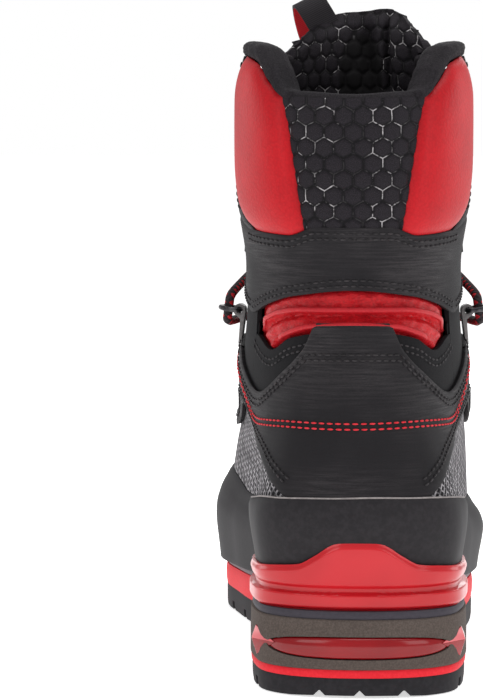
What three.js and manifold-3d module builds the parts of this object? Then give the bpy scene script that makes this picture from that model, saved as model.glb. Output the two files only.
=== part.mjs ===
// A right mountaineering boot of about EU size 42, in millimetres: +Z up, toe towards +Y,
// the outer (lateral) side of the foot towards +X, origin under the middle of the sole.
//
// The upper is one smooth surface. A point on it has an angle round the foot (0 at the back
// of the heel, 90 on the lateral side, 180 over the toe and shin, -90 on the medial side) and
// a level, which is its height where that level line crosses the back of the boot. Every
// panel, liner, hook and lace is laid on that surface at a stated depth, so the pieces keep
// their fit when a size changes.
import * as THREE from 'three';
import { mergeVertices } from 'three/addons/utils/BufferGeometryUtils.js';
import Module from 'manifold-3d';

const wasm = await Module();
wasm.setup();

// ---- driving dimensions ------------------------------------------------------------------
const soleLength = 304.5;
const ballWidth = 109;
const heelWidth = 78;
const collarHeight = 235;

// sole stack, from the ground up
const heelRubber = 6.9;
const ballRubber = 9.2;
const heelStripe = 3.1; // red midsole under the heel wedge
const plateThickness = 2.4;
const plateHeelTop = 30.6;
const plateBallTop = 21;
const plateToeTop = 28;
const toeSpring = 8;
const archLift = 6;
const treadDepth = 4.2;
const grooveWidth = 3.6;

// upper walls
const shellThickness = 1.7;
const overlayThickness = 1.5;
const randThickness = 2.1;
const cuffThickness = 3.3;
const padCrown = 2.6;
const linerThickness = 3.6;
const counterThickness = 1;
const boardThickness = 2;
const footbedThickness = 4.2;
const tongueThickness = 4.6;
const rollDepth = 8;
const weltReach = 6; // flange beyond the upper's lasting line
const weltGroove = 3.2;
const weltBody = 4.8;

// clearances
const jointGap = 0.45; // between panels that meet edge to edge
const layerGap = 0.8; // between one layer and the next
const seatGap = 0.3; // between a fitting and what it sits on
const edgeInset = 1.3; // between a stiff deck and the wall round it

// levels of the seams, measured at the back of the boot
const featherLevel = plateHeelTop + 0.8;
const randLevel = 71.5;
const quarterLevel = 118;
const throatLevel = 99;
const bandTopLevel = 169;
const backRimLevel = 214.6;
const tongueTopLevel = 242;

// fittings
const laceDiameter = 3.6;
const wireDiameter = 2;
const loopAngle = 150;
const loopLevels = [103, 111, 119];
const loopRadius = 3.6;
const loopWire = 1.6;
const hookAngle = 131;
const hookLevels = [153.5, 200];
const hookWidth = 8;
const hookPlate = 1.2;
const ringAngle = 104;
const ringLevel = 131;
const ringRadius = laceDiameter / 2 + 2.8;
const ringBarHeight = 2.4;

const standard = { length: 304.5, ball: 109, heel: 78, collar: 235 };
const sides = { lateral: 1, medial: -1 };

// ---- small maths -------------------------------------------------------------------------
const mix = (a, b, share) => a + (b - a) * share;
const clamp = (value, low, high) => Math.min(Math.max(value, low), high);
const ease = (value, from, to) => {
  const share = clamp((value - from) / (to - from), 0, 1);
  return share * share * (3 - 2 * share);
};
const radians = THREE.MathUtils.degToRad;

// A smooth curve through [x, y] points that never overshoots them.
function through(points) {
  const slopes = points.map((point, i) => {
    if (i === 0 || i === points.length - 1) return 0;
    const before = (point[1] - points[i - 1][1]) / (point[0] - points[i - 1][0]);
    const after = (points[i + 1][1] - point[1]) / (points[i + 1][0] - point[0]);
    return before * after <= 0 ? 0 : (2 * before * after) / (before + after);
  });
  return (x) => {
    const at = clamp(x, points[0][0], points[points.length - 1][0]);
    let i = 0;
    while (i < points.length - 2 && at > points[i + 1][0]) i += 1;
    const [x0, y0] = points[i];
    const [x1, y1] = points[i + 1];
    const h = x1 - x0;
    const s = (at - x0) / h;
    const rise = y0 * (1 + 2 * s) * (1 - s) ** 2 + y1 * s * s * (3 - 2 * s);
    return rise + h * (slopes[i] * s * (1 - s) ** 2 - slopes[i + 1] * s * s * (1 - s));
  };
}

const mirrored = (edge) => (angle) => edge(Math.abs(angle > 180 ? angle - 360 : angle));

// ---- plan of the sole --------------------------------------------------------------------
// Both take the share of the sole's length from the back of the heel.
const soleFullness = through([
  [0, 100], [0.03, 88], [0.08, 69], [0.15, 55], [0.24, 42], [0.36, 35.4], [0.48, 42],
  [0.58, 49.5], [0.68, 55], [0.85, 57.5], [0.93, 64], [1, 80],
]);
const soleCentre = through([
  [0, 0], [0.2, 0], [0.36, 3], [0.58, -1], [0.7, -7], [0.85, -10.5], [1, -12],
]);
const widthScale = (share) =>
  mix(heelWidth / standard.heel, ballWidth / standard.ball, ease(share, 0.15, 0.6));
const lengthShare = (angle) => (1 - Math.cos(radians(angle))) / 2;
const lengthways = (y) => (y * soleLength) / standard.length;

// A point on the sole's edge, moved in by an inset square to the edge.
function soleEdge(angle, inset = 0) {
  const at = (a) => {
    const share = lengthShare(a);
    const half = soleFullness(share) * Math.sin(radians(a));
    const x = (soleCentre(share) + half) * widthScale(share);
    return new THREE.Vector2(x, (share - 0.5) * soleLength);
  };
  const along = at(angle + 0.5).sub(at(angle - 0.5)).normalize();
  return at(angle).add(new THREE.Vector2(-along.y, along.x).multiplyScalar(inset));
}

// Heights of the sole's layers along the foot; y is in standard millimetres.
const plateTop = through([
  [-152, plateHeelTop], [-75, plateHeelTop], [5, plateBallTop + 1.2], [55, plateBallTop],
  [100, plateBallTop + 2], [152, plateToeTop],
]);
const tread = through([
  [-152, 0.6], [-146, 0], [-68, 0], [-58, archLift], [-32, archLift], [-20, 0], [85, 0],
  [120, toeSpring * 0.3], [152, toeSpring],
]);
const rubberTop = through([
  [-152, heelRubber], [-85, heelRubber], [-50, ballRubber], [85, ballRubber],
  [120, ballRubber + toeSpring * 0.32], [152, ballRubber + toeSpring],
]);
const wedgeEnd = -14;
const stripeTop = through([
  [-152, heelRubber + heelStripe], [-85, heelRubber + heelStripe + 0.3],
  [wedgeEnd, plateBallTop + 2.2 - plateThickness - 2],
]);
const standardY = (y) => (y * standard.length) / soleLength;
const plateTopAt = (y) => plateTop(standardY(y));
const plateBottomAt = (y) => plateTopAt(y) - plateThickness;
const treadAt = (y) => tread(standardY(y));
const rubberTopAt = (y) => rubberTop(standardY(y));
const wedgeBottomAt = (y) => stripeTop(standardY(y)) + seatGap;
const midsoleTopAt = (y) => {
  const under = plateBottomAt(y) - seatGap;
  return standardY(y) < wedgeEnd ? Math.min(stripeTop(standardY(y)), under) : under;
};

// ---- surface of the upper ----------------------------------------------------------------
const backOf = through([
  [30, -146.5], [44, -146.8], [55, -147.5], [64, -148], [76, -147], [88, -145], [100, -143],
  [112, -141], [124, -139.5], [136, -139], [150, -139.5], [170, -142], [190, -143.5],
  [210, -143.5], [236, -141], [256, -139],
]);
const frontOf = through([
  [30, 144.5], [44, 146.5], [55, 147], [64, 142], [76, 124], [88, 94], [100, 60], [112, 28],
  [124, 4], [136, -13], [150, -26], [170, -34], [190, -38], [210, -39], [236, -36], [256, -32],
]);
const frontHeight = through([
  [55, 51], [64, 60], [76, 73.5], [88, 84], [100, 95.5], [112, 109.5], [124, 125], [136, 141],
  [150, 157], [170, 177], [190, 198], [210, 219], [236, 245], [256, 266],
]);
const halfWidth = through([
  [60, 42.5], [76, 42.5], [88, 42], [110, 41], [130, 38.5], [150, 37.2], [178, 40.3], [212, 40],
  [228, 38], [256, 36],
]);
const shaftCentre = -2.3;
const soleInset = 4;

function surfacePoint(angle, level) {
  const share = lengthShare(angle);
  const blend = ease(level, 50, 118);
  const reach = mix(backOf(level), frontOf(level), share);
  const y = lengthways(reach);
  const low = plateTop(reach) + level - plateHeelTop;
  const high = level + (frontHeight(Math.max(level, 55)) - level) * share;
  const standing = mix(low, high, ease(level, 55, 88));
  const sole = plateTop(reach);
  const z = sole + ((standing - sole) * collarHeight) / standard.collar;
  const square = mix(1, share > 0.5 ? 0.62 : 0.92, ease(level, 105, 150));
  const sine = Math.sin(radians(angle));
  const reachOut = Math.sign(sine) * Math.abs(sine) ** square;
  const full = mix(soleFullness(share) - soleInset, halfWidth(level), blend);
  const centre = mix(soleCentre(share), shaftCentre, blend);
  return new THREE.Vector3((centre + full * reachOut) * widthScale(share), y, z);
}

// The directions at a point of the surface: round the boot, up it, and out of it.
function axesAt(angle, level) {
  const round = surfacePoint(angle + 0.6, level).sub(surfacePoint(angle - 0.6, level)).normalize();
  const climb = surfacePoint(angle, level + 0.6).sub(surfacePoint(angle, level - 0.6));
  const out = round.clone().cross(climb).normalize();
  return { round, out, up: out.clone().cross(round).normalize() };
}

const skin = (angle, level, depth) =>
  surfacePoint(angle, level).addScaledVector(axesAt(angle, level).out, depth);

// ---- making solids -----------------------------------------------------------------------
const boot = new THREE.Group();

function finish(color, roughness, metalness = 0) {
  return { color, roughness, metalness };
}
const finishes = {
  rubber: finish(0x302d32, 0.8),
  red: finish(0xb8474b, 0.55),
  redFoam: finish(0xf05157, 0.7),
  redGloss: finish(0xc83e43, 0.25),
  foam: finish(0x595151, 0.75),
  nylon: finish(0x3a3638, 0.5),
  leather: finish(0xb8383f, 0.6),
  black: finish(0x383436, 0.7),
  mesh: finish(0x46444a, 0.9),
  hexFabric: finish(0x403b41, 0.75),
  lining: finish(0x2a282b, 0.95),
  board: finish(0x8a8378, 0.9),
  steel: finish(0x2b2b2e, 0.35, 0.9),
  lace: finish(0x9c2a30, 0.8),
};

function add(name, geometry, look) {
  const clean = geometry.index ? geometry : mergeVertices(geometry);
  const mesh = new THREE.Mesh(clean, new THREE.MeshStandardMaterial(finishes[look]));
  mesh.name = name;
  boot.add(mesh);
}

// Triangles from three.js points, without the ones that have collapsed, facing outwards.
function closed(points, triangles) {
  const geometry = new THREE.BufferGeometry();
  const coordinates = points.flatMap((point) => [point.x, point.y, point.z]);
  geometry.setAttribute('position', new THREE.Float32BufferAttribute(coordinates, 3));
  geometry.setIndex(triangles.flat());
  return outward(geometry);
}

function outward(source) {
  const bare = source.clone();
  bare.deleteAttribute('normal');
  bare.deleteAttribute('uv');
  const merged = mergeVertices(bare, 1e-3);
  const index = Array.from(merged.index.array);
  const position = merged.getAttribute('position');
  const corner = (i) => new THREE.Vector3().fromBufferAttribute(position, i);
  const kept = [];
  let volume = 0;
  for (let i = 0; i < index.length; i += 3) {
    const [a, b, c] = index.slice(i, i + 3);
    if (a !== b && b !== c && c !== a) {
      kept.push([a, b, c]);
      volume += corner(a).dot(corner(b).cross(corner(c)));
    }
  }
  merged.setIndex(kept.flatMap(([a, b, c]) => (volume < 0 ? [a, c, b] : [a, b, c])));
  return merged;
}

function manifold(geometry) {
  const solid = outward(geometry);
  return new wasm.Manifold(new wasm.Mesh({
    numProp: 3,
    vertProperties: new Float32Array(solid.getAttribute('position').array),
    triVerts: new Uint32Array(solid.index.array),
  }));
}

function geometryOf(solid) {
  const mesh = solid.getMesh();
  const geometry = new THREE.BufferGeometry();
  const stride = mesh.numProp;
  const coordinates = [];
  for (let i = 0; i < mesh.vertProperties.length; i += stride) {
    coordinates.push(...mesh.vertProperties.slice(i, i + 3));
  }
  geometry.setAttribute('position', new THREE.Float32BufferAttribute(coordinates, 3));
  geometry.setIndex(Array.from(mesh.triVerts));
  return geometry;
}

const cut = (geometry, tools) =>
  geometryOf(tools.reduce((solid, tool) => solid.subtract(manifold(tool)), manifold(geometry)));
const join = (geometries) =>
  geometryOf(geometries.map(manifold).reduce((solid, next) => solid.add(next)));

// A wall between two grids of points, split along the same diagonal on both sides. A ring's
// last column meets its first.
function wall(inner, outer, ring) {
  const columns = inner.length;
  const rows = inner[0].length;
  const points = [...inner.flat(), ...outer.flat()];
  const at = (layer, i, j) => layer * columns * rows + (i % columns) * rows + j;
  const triangles = [];
  const quad = (a, b, c, d) => triangles.push([a, b, c], [a, c, d]);
  const spans = ring ? columns : columns - 1;
  for (let i = 0; i < spans; i += 1) {
    for (let j = 0; j < rows - 1; j += 1) {
      quad(at(1, i, j), at(1, i + 1, j), at(1, i + 1, j + 1), at(1, i, j + 1));
      quad(at(0, i, j), at(0, i, j + 1), at(0, i + 1, j + 1), at(0, i + 1, j));
    }
    const top = rows - 1;
    quad(at(0, i, 0), at(0, i + 1, 0), at(1, i + 1, 0), at(1, i, 0));
    quad(at(1, i, top), at(1, i + 1, top), at(0, i + 1, top), at(0, i, top));
  }
  if (!ring) {
    const last = columns - 1;
    for (let j = 0; j < rows - 1; j += 1) {
      quad(at(0, 0, j + 1), at(0, 0, j), at(1, 0, j), at(1, 0, j + 1));
      quad(at(0, last, j), at(0, last, j + 1), at(1, last, j + 1), at(1, last, j));
    }
  }
  return closed(points, triangles);
}

// The angles and levels that every layer shares, so that facets of two layers run parallel.
const halfTurn = [5, 10, 16, 23, 32, 45, 60, 72, 84, 96, 109, 122, 134, 145, 153, 162, 171];
const gridAngles = [...halfTurn.map((a) => -a).reverse(), 0, ...halfTurn, 180];
const gridLevels = [40, 50, 60, 69, 80, 92, 105, 120, 135, 150, 170, 190, 210, 230];
const linerLevels = [50, 60, 69, 80, 96, 135, 170, 190];

function between(marks, low, high) {
  return [low, ...marks.filter((mark) => mark > low + 1 && mark < high - 1), high];
}

// A panel on the surface, from angle to angle and from its lower edge to its upper edge. The
// depths may be numbers or functions of (angle, level).
function panel({ from, to, low, high, inner, outer, levels = gridLevels }) {
  const ring = to - from >= 360;
  const shared = [...gridAngles, ...gridAngles.map((a) => a + 360)];
  const angles = ring ? gridAngles : between(shared, from, to);
  const value = (setting, ...where) => (typeof setting === 'function' ? setting(...where) : setting);
  const lows = angles.map((angle) => value(low, angle));
  const highs = angles.map((angle) => value(high, angle));
  const rows = between(levels, Math.min(...lows), Math.max(...highs));
  const side = (setting) => angles.map((angle, i) => rows.map((row) => {
    const level = clamp(row, lows[i], highs[i]);
    return skin(angle, level, value(setting, angle, level));
  }));
  return wall(side(inner), side(outer), ring);
}

// A panel whose side edges slant: each edge is an angle for a level.
function slantedPanel({ left, right, low, high, inner, outer, columns, rows }) {
  const grid = (setting) => Array.from({ length: columns + 1 }, (_, i) => {
    const u = i / columns;
    return Array.from({ length: rows + 1 }, (__, j) => {
      const w = j / rows;
      let level = mix(bandTopLevel, backRimLevel, w);
      for (let tries = 0; tries < 4; tries += 1) {
        const angle = mix(left(level), right(level), u);
        level = mix(low(angle), high(angle), w);
      }
      const depth = typeof setting === 'function' ? setting(u, w) : setting;
      return skin(mix(left(level), right(level), u), level, depth);
    });
  });
  return wall(grid(inner), grid(outer), false);
}

// A flat-ish deck across the foot: an edge line for each side and a height for each y.
function deck({ edge, bottom, top, from = 0, to = 180, steps = 30 }) {
  const points = [];
  const spots = [];
  for (let i = 0; i <= steps; i += 1) {
    const angle = mix(from, to, i / steps);
    const pair = [edge(angle), edge(-angle)].map(({ x, y }) => {
      points.push(new THREE.Vector3(x, y, bottom(y)), new THREE.Vector3(x, y, top(y)));
      return points.length - 2;
    });
    spots.push(pair);
  }
  const triangles = [];
  const quad = (a, b, c, d) => triangles.push([a, b, c], [a, c, d]);
  for (let i = 0; i < steps; i += 1) {
    const [r0, l0] = spots[i];
    const [r1, l1] = spots[i + 1];
    quad(r0 + 1, r1 + 1, l1 + 1, l0 + 1);
    quad(l0, l1, r1, r0);
    quad(r0, r1, r1 + 1, r0 + 1);
    quad(l0 + 1, l1 + 1, l1, l0);
  }
  const [r, l] = spots[0];
  const [rEnd, lEnd] = spots[steps];
  quad(l, r, r + 1, l + 1);
  quad(rEnd, lEnd, lEnd + 1, rEnd + 1);
  return closed(points, triangles);
}

// A tube of round section along a smooth line through points.
function tube(points, diameter, steps, sections = 8) {
  const section = new THREE.Shape(
    Array.from({ length: sections }, (_, i) => {
      const turn = (i / sections) * 2 * Math.PI;
      return new THREE.Vector2(Math.cos(turn), Math.sin(turn)).multiplyScalar(diameter / 2);
    }),
  );
  const path = new THREE.CatmullRomCurve3(points, false, 'centripetal');
  return new THREE.ExtrudeGeometry(section, { steps, extrudePath: path, bevelEnabled: false });
}

// A fitting's own axes on the surface: x away from the throat, y up the boot, z out.
function seatAt(side, angle, level, depth) {
  const { round, up, out } = axesAt(side * angle, level);
  const away = round.multiplyScalar(-side);
  const place = skin(side * angle, level, depth);
  return (x, y, z) =>
    place.clone().addScaledVector(away, x).addScaledVector(up, y).addScaledVector(out, z);
}

// Turns a shape that was drawn in a seat's x, y and z into the boot's own coordinates.
function seated(geometry, seat) {
  const source = geometry.getAttribute('position');
  const moved = geometry.clone();
  const target = moved.getAttribute('position');
  for (let i = 0; i < source.count; i += 1) {
    const point = seat(source.getX(i), source.getY(i), source.getZ(i));
    target.setXYZ(i, point.x, point.y, point.z);
  }
  return outward(moved);
}

// ---- depths of the layers ----------------------------------------------------------------
const shellOuter = shellThickness;
const overlayInner = shellOuter + layerGap;
const overlayOuter = overlayInner + overlayThickness;
const randInner = overlayInner + seatGap;
const linerOuter = -layerGap - counterThickness - layerGap;
const linerInner = linerOuter - linerThickness;
const fittingSeat = overlayOuter + seatGap;
const loopSeat = overlayOuter + 4 * seatGap;
const cuffSeat = cuffThickness + 2 * seatGap;

// ---- edges of the panels, as levels by angle ---------------------------------------------
const weltTop = mirrored(through([
  [0, 56.3], [5, 56.3], [10, 51.5], [16, 47], [32, 44.8], [70, 42],
]));
const weltEnd = 72;
const randLow = mirrored((angle) => {
  const above = weltTop(angle) + jointGap;
  return angle <= weltEnd ? above : mix(above, featherLevel, ease(angle, weltEnd, weltEnd + 12));
});
const randTop = mirrored(through([
  [0, randLevel], [57, randLevel], [84, 80], [98, 82], [122, 66], [145, 58.5], [180, 62],
]));
const vampTop = mirrored(through([
  [120, quarterLevel], [153, quarterLevel], [162, throatLevel + 3], [171, throatLevel],
  [180, throatLevel - 0.5],
]));
const heelPanelTop = mirrored(through([
  [0, 134], [16, 134], [23, 124.5], [32, 117], [50, 107.5], [70, 115], [84, 120.5],
]));
const heelPanelLow = mirrored(through([
  [0, randLevel + jointGap], [32, randLevel + jointGap], [47, 85], [70, 98], [84, 100],
]));
const overlayLow = mirrored((angle) =>
  Math.max(mix(100, 84, ease(angle, 84, 109)), randTop(angle) + jointGap));
const overlayTop = mirrored(through([[84, 121], [104, 123.5], [158, 124]]));
const bandLow = mirrored(through([
  [0, 145.8], [30, 143], [50, 138.5], [65, 134.5], [85, 138], [110, 144], [150, 147],
]));
const bandTop = mirrored(through([
  [0, bandTopLevel], [16, bandTopLevel], [32, 165.6], [60, 166], [84, 169], [150, 170],
]));
const flexLow = mirrored(through([[0, 130], [17, 130], [32, 128], [45, 123], [60, 127.5]]));
const flexEnd = 60;
const flexTop = (angle) => bandLow(angle) - jointGap;
const gussetTop = (angle) => (Math.abs(angle) > flexEnd ? flexTop : flexLow)(angle) - jointGap;
const padInner = through([[160, 22], [169, 23], [187, 27], [205, 31.5], [216, 35]]);
const padOuter = through([[165, 58], [170, 68], [178, 77], [190, 82], [230, 84]]);
const padTop = mirrored(through([
  [30, 213.8], [35, 214.2], [45, 219], [60, 226], [82, 228.5], [110, 227.5], [150, 222],
]));
const rollTop = mirrored(through([
  [34, 217.5], [45, 226.5], [60, 233.6], [75, 235], [110, 235], [141, 229],
]));

// ---- sole --------------------------------------------------------------------------------
function buildOutsole() {
  const blank = deck({ edge: (a) => soleEdge(a, 1), bottom: treadAt, top: rubberTopAt });
  const grooves = [];
  const heelGrooves = [-128, -108, -88];
  const ballGrooves = [-4, 16, 36, 56, 76, 96, 116];
  const sideways = 24;
  for (const y of [...heelGrooves, ...ballGrooves]) {
    for (const side of Object.values(sides)) {
      const bar = new THREE.BoxGeometry(60, grooveWidth, treadDepth);
      const height = treadAt(lengthways(y)) + treadDepth / 2 - 0.6;
      bar.rotateZ(radians(side * 16));
      bar.translate(side * (30 + sideways / 2), lengthways(y), height);
      grooves.push(bar);
    }
  }
  const notchSize = 3.4;
  for (const x of [-14, 0.5, 16.5]) {
    const notch = new THREE.BoxGeometry(notchSize, 16, notchSize);
    notch.rotateY(radians(45));
    notch.translate(x, -soleLength / 2 + 6, 0.2);
    grooves.push(notch);
  }
  return cut(blank, grooves);
}

const insertSpan = 27;
const insertLow = 14;
const insertHigh = 21.7;
function heelInsertSolid(grow) {
  const depths = { back: -1.6 - grow, face: 0.5 + grow };
  const angles = between([-20, -14, -8, 0, 8, 14, 20], -insertSpan - grow, insertSpan + grow);
  const grid = (depth) => angles.map((angle) => {
    const point = soleEdge(angle, -depth);
    const rise = (insertHigh - insertLow) / 2;
    const lens = rise * Math.sqrt(Math.max(1 - (angle / (insertSpan + 6)) ** 2, 0)) + grow;
    const middle = (insertLow + insertHigh) / 2;
    return [-1, 1].map((end) => new THREE.Vector3(point.x, point.y, middle + end * lens));
  });
  return wall(grid(depths.back), grid(depths.face), false);
}

function buildSole() {
  add('outsole', buildOutsole(), 'rubber');
  add('midsole', deck({
    edge: (a) => soleEdge(a, 0.6),
    bottom: (y) => rubberTopAt(y) + seatGap,
    top: midsoleTopAt,
  }), 'redFoam');
  const wedge = deck({
    edge: (a) => soleEdge(a, 0),
    bottom: wedgeBottomAt,
    top: (y) => plateBottomAt(y) - seatGap,
    to: 84,
    steps: 16,
  });
  add('heel_wedge', cut(wedge, [heelInsertSolid(seatGap)]), 'foam');
  add('heel_insert', heelInsertSolid(0), 'redGloss');
  add('shank_plate', deck({
    edge: (a) => soleEdge(a, 1),
    bottom: plateBottomAt,
    top: plateTopAt,
  }), 'nylon');
}

function buildWelt() {
  const profile = through([
    [featherLevel, weltReach - 1], [32.2, weltReach], [36.8, weltReach - 0.2],
    [38, weltGroove], [39.4, weltGroove], [40.6, weltBody], [46, weltBody - 0.1],
    [56.3, weltBody - 1],
  ]);
  add('heel_welt', panel({
    from: -weltEnd,
    to: weltEnd,
    low: featherLevel,
    high: weltTop,
    inner: overlayInner,
    outer: (angle, level) => profile(level),
    levels: [32.2, 36.8, 38, 39.4, 40.6, 46],
  }), 'redGloss');
}

function buildInsole() {
  const inside = (depth) => (a) => skin(a, featherLevel + 2, depth);
  const boardBottom = (y) => plateTopAt(y) + seatGap;
  const boardTop = (y) => boardBottom(y) + boardThickness;
  add('lasting_board', deck({
    edge: inside(-edgeInset), bottom: boardBottom, top: boardTop, steps: 22,
  }), 'board');
  add('footbed', deck({
    edge: inside(linerInner - edgeInset),
    bottom: (y) => boardTop(y) + seatGap,
    top: (y) => boardTop(y) + seatGap + footbedThickness,
    steps: 22,
  }), 'lining');
  const innerLow = featherLevel + boardThickness + 2 * seatGap;
  const counter = {
    inner: linerOuter + layerGap, outer: -layerGap, low: innerLow, levels: linerLevels,
  };
  add('heel_counter', panel({ ...counter, from: -84, to: 84, high: 84 }), 'board');
  add('toe_puff', panel({ ...counter, from: 134, to: 226, high: 66 }), 'board');
  return innerLow;
}

// ---- upper of the foot -------------------------------------------------------------------
function buildFootUpper(innerLow) {
  add('liner_foot', panel({
    from: -180,
    to: 180,
    low: innerLow,
    high: mirrored(through([
      [0, quarterLevel - 1], [134, quarterLevel - 1], [152, throatLevel - 1.2],
      [180, throatLevel - 2],
    ])),
    inner: linerInner,
    outer: linerOuter,
    levels: linerLevels,
  }), 'lining');
  add('quarter_mesh', panel({
    from: -122, to: 122, low: featherLevel, high: quarterLevel, inner: 0, outer: shellOuter,
  }), 'mesh');
  add('vamp', panel({
    from: 122.5,
    to: 237.5,
    low: featherLevel,
    high: (a) => vampTop(a),
    inner: 0,
    outer: shellOuter,
  }), 'black');
  add('rand', panel({
    from: -180,
    to: 180,
    low: randLow,
    high: randTop,
    inner: randInner,
    outer: randInner + randThickness,
  }), 'rubber');
  add('heel_panel', panel({
    from: -84,
    to: 84,
    low: heelPanelLow,
    high: heelPanelTop,
    inner: overlayInner,
    outer: overlayOuter,
  }), 'black');
  for (const [name, side] of Object.entries(sides)) {
    const ends = side > 0 ? [84.6, 158] : [-158, -84.6];
    add(`quarter_overlay_${name}`, panel({
      from: ends[0],
      to: ends[1],
      low: overlayLow,
      high: overlayTop,
      inner: overlayInner,
      outer: overlayOuter,
    }), 'black');
  }
}

function buildAnkle() {
  add('liner_ankle', panel({
    from: -148,
    to: 148,
    low: quarterLevel - 1 + jointGap,
    high: 145.7,
    inner: linerInner,
    outer: linerOuter,
    levels: linerLevels,
  }), 'lining');
  add('flex_insert', panel({
    from: -flexEnd, to: flexEnd, low: flexLow, high: flexTop, inner: 0, outer: shellOuter,
  }), 'leather');
  for (const [name, side] of Object.entries(sides)) {
    const ends = side > 0 ? [jointGap / 2, 150] : [-150, -jointGap / 2];
    add(`ankle_gusset_${name}`, panel({
      from: ends[0],
      to: ends[1],
      low: quarterLevel + jointGap,
      high: gussetTop,
      inner: 0,
      outer: shellOuter,
    }), 'black');
  }
}

// ---- cuff --------------------------------------------------------------------------------
function buildCuff() {
  add('liner_cuff', panel({
    from: -148,
    to: 148,
    low: 146.5,
    high: (a) => Math.min(padTop(a), backRimLevel) - 1,
    inner: linerInner,
    outer: linerOuter,
    levels: linerLevels,
  }), 'lining');
  add('cuff_band', panel({
    from: -150, to: 150, low: bandLow, high: bandTop, inner: 0, outer: cuffThickness,
  }), 'black');
  add('cuff_hex_panel', slantedPanel({
    left: (v) => -padInner(v) + 0.4,
    right: (v) => padInner(v) - 0.4,
    low: (a) => bandTop(a) + jointGap,
    high: () => backRimLevel,
    inner: 0,
    outer: cuffThickness - 0.6,
    columns: 8,
    rows: 5,
  }), 'hexFabric');
  for (const [name, side] of Object.entries(sides)) {
    const slanted = (near, far, rest) => slantedPanel({
      left: (v) => side * near(v),
      right: (v) => side * far(v),
      low: (a) => bandTop(a) + jointGap,
      high: padTop,
      inner: 0,
      ...rest,
    });
    add(`cuff_pad_${name}`, slanted(padInner, padOuter, {
      outer: (u, w) => cuffThickness + padCrown * Math.sin(Math.PI * u) * Math.sin(Math.PI * w),
      columns: 6,
      rows: 6,
    }), 'leather');
    add(`cuff_flap_${name}`, slanted((v) => padOuter(v) + 1.6, () => 150, {
      outer: cuffThickness,
      columns: 6,
      rows: 6,
    }), 'black');
    const ends = side > 0 ? [36, 141] : [-141, -36];
    add(`collar_roll_${name}`, panel({
      from: ends[0],
      to: ends[1],
      low: (a) => padTop(a) + 2 * jointGap,
      high: rollTop,
      inner: -rollDepth,
      outer: cuffThickness,
      levels: [],
    }), 'lining');
  }
}

function buildTongue() {
  const outer = -layerGap;
  const strip = (low, high, half) => panel({
    from: 180 - half,
    to: 180 + half,
    low,
    high,
    inner: outer - tongueThickness,
    outer,
  });
  add('tongue_lower', strip(throatLevel + 0.6, 123.6, 24), 'black');
  add('tongue_mid', strip(124.1, 145.6, 28), 'black');
  // the top flares out above the collar and is higher on its lateral side
  const half = through([[146, 28], [222, 28.5], [236, 37]]);
  const topEdge = through([
    [141, tongueTopLevel - 13], [152, tongueTopLevel - 2], [165, tongueTopLevel],
    [184, tongueTopLevel], [198, tongueTopLevel - 6], [210, tongueTopLevel - 11],
    [219, tongueTopLevel - 17],
  ]);
  add('tongue_upper', slantedPanel({
    left: (v) => 180 - half(v),
    right: (v) => 180 + half(v),
    low: () => 146.1,
    high: topEdge,
    inner: outer - tongueThickness - 1.5,
    outer,
    columns: 8,
    rows: 9,
  }), 'hexFabric');
  // a bight of webbing on the tongue's front that stands up past its top edge
  const span = 15;
  const rise = 16;
  const webbing = 1.8;
  const webbingWidth = 8;
  const bend = new THREE.Vector2(0, rise - span / 2);
  const outline = new THREE.Shape();
  outline.moveTo(-span / 2, 0);
  outline.lineTo(-span / 2, bend.y);
  outline.absarc(bend.x, bend.y, span / 2, Math.PI, 0, true);
  outline.lineTo(span / 2, 0);
  outline.lineTo(span / 2 - webbing, 0);
  outline.absarc(bend.x, bend.y, span / 2 - webbing, 0, Math.PI, false);
  outline.lineTo(-span / 2 + webbing, 0);
  const loop = new THREE.ExtrudeGeometry(outline, {
    depth: webbingWidth, bevelEnabled: false, curveSegments: 8,
  });
  const seat = seatAt(sides.medial, 167, tongueTopLevel - 11, outer + seatGap);
  add('pull_loop', seated(loop, seat), 'lace');
}

// ---- fittings ----------------------------------------------------------------------------
// Each fitting gives back where the lace's middle goes, in its seat's own x and z.
const loopCentre = loopRadius + loopWire / 2;
const hookStem = 1.4;
const hookLip = hookPlate + laceDiameter + 0.8;
const laceInHook = { x: seatGap + laceDiameter / 2 + 0.2, z: (hookPlate + hookLip) / 2 };
const laceInLoop = { x: 0, z: loopCentre };
const bailLegs = 3;
const ringTop = ringBarHeight + bailLegs + ringRadius - wireDiameter / 2;
const laceInRing = { x: 0, z: ringTop - laceDiameter / 2 - 0.2 };

function hookGeometry() {
  const section = new THREE.Shape([
    [-4.5, 0], [6, 0], [6, hookPlate], [0, hookPlate], [0, hookLip], [5, hookLip - 0.4],
    [5, hookLip + hookStem - 0.6], [0.6, hookLip + hookStem], [-hookStem, hookLip + hookStem - 1],
    [-hookStem, hookPlate], [-4.5, hookPlate],
  ].map(([x, z]) => new THREE.Vector2(x, z)));
  const hook = new THREE.ExtrudeGeometry(section, { depth: hookWidth, bevelEnabled: false });
  hook.translate(0, 0, -hookWidth / 2);
  return hook.rotateX(Math.PI / 2);
}

function loopGeometry() {
  const ring = new THREE.TorusGeometry(loopRadius, loopWire / 2, 6, 14);
  return ring.rotateX(Math.PI / 2).translate(0, 0, loopCentre);
}

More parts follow.
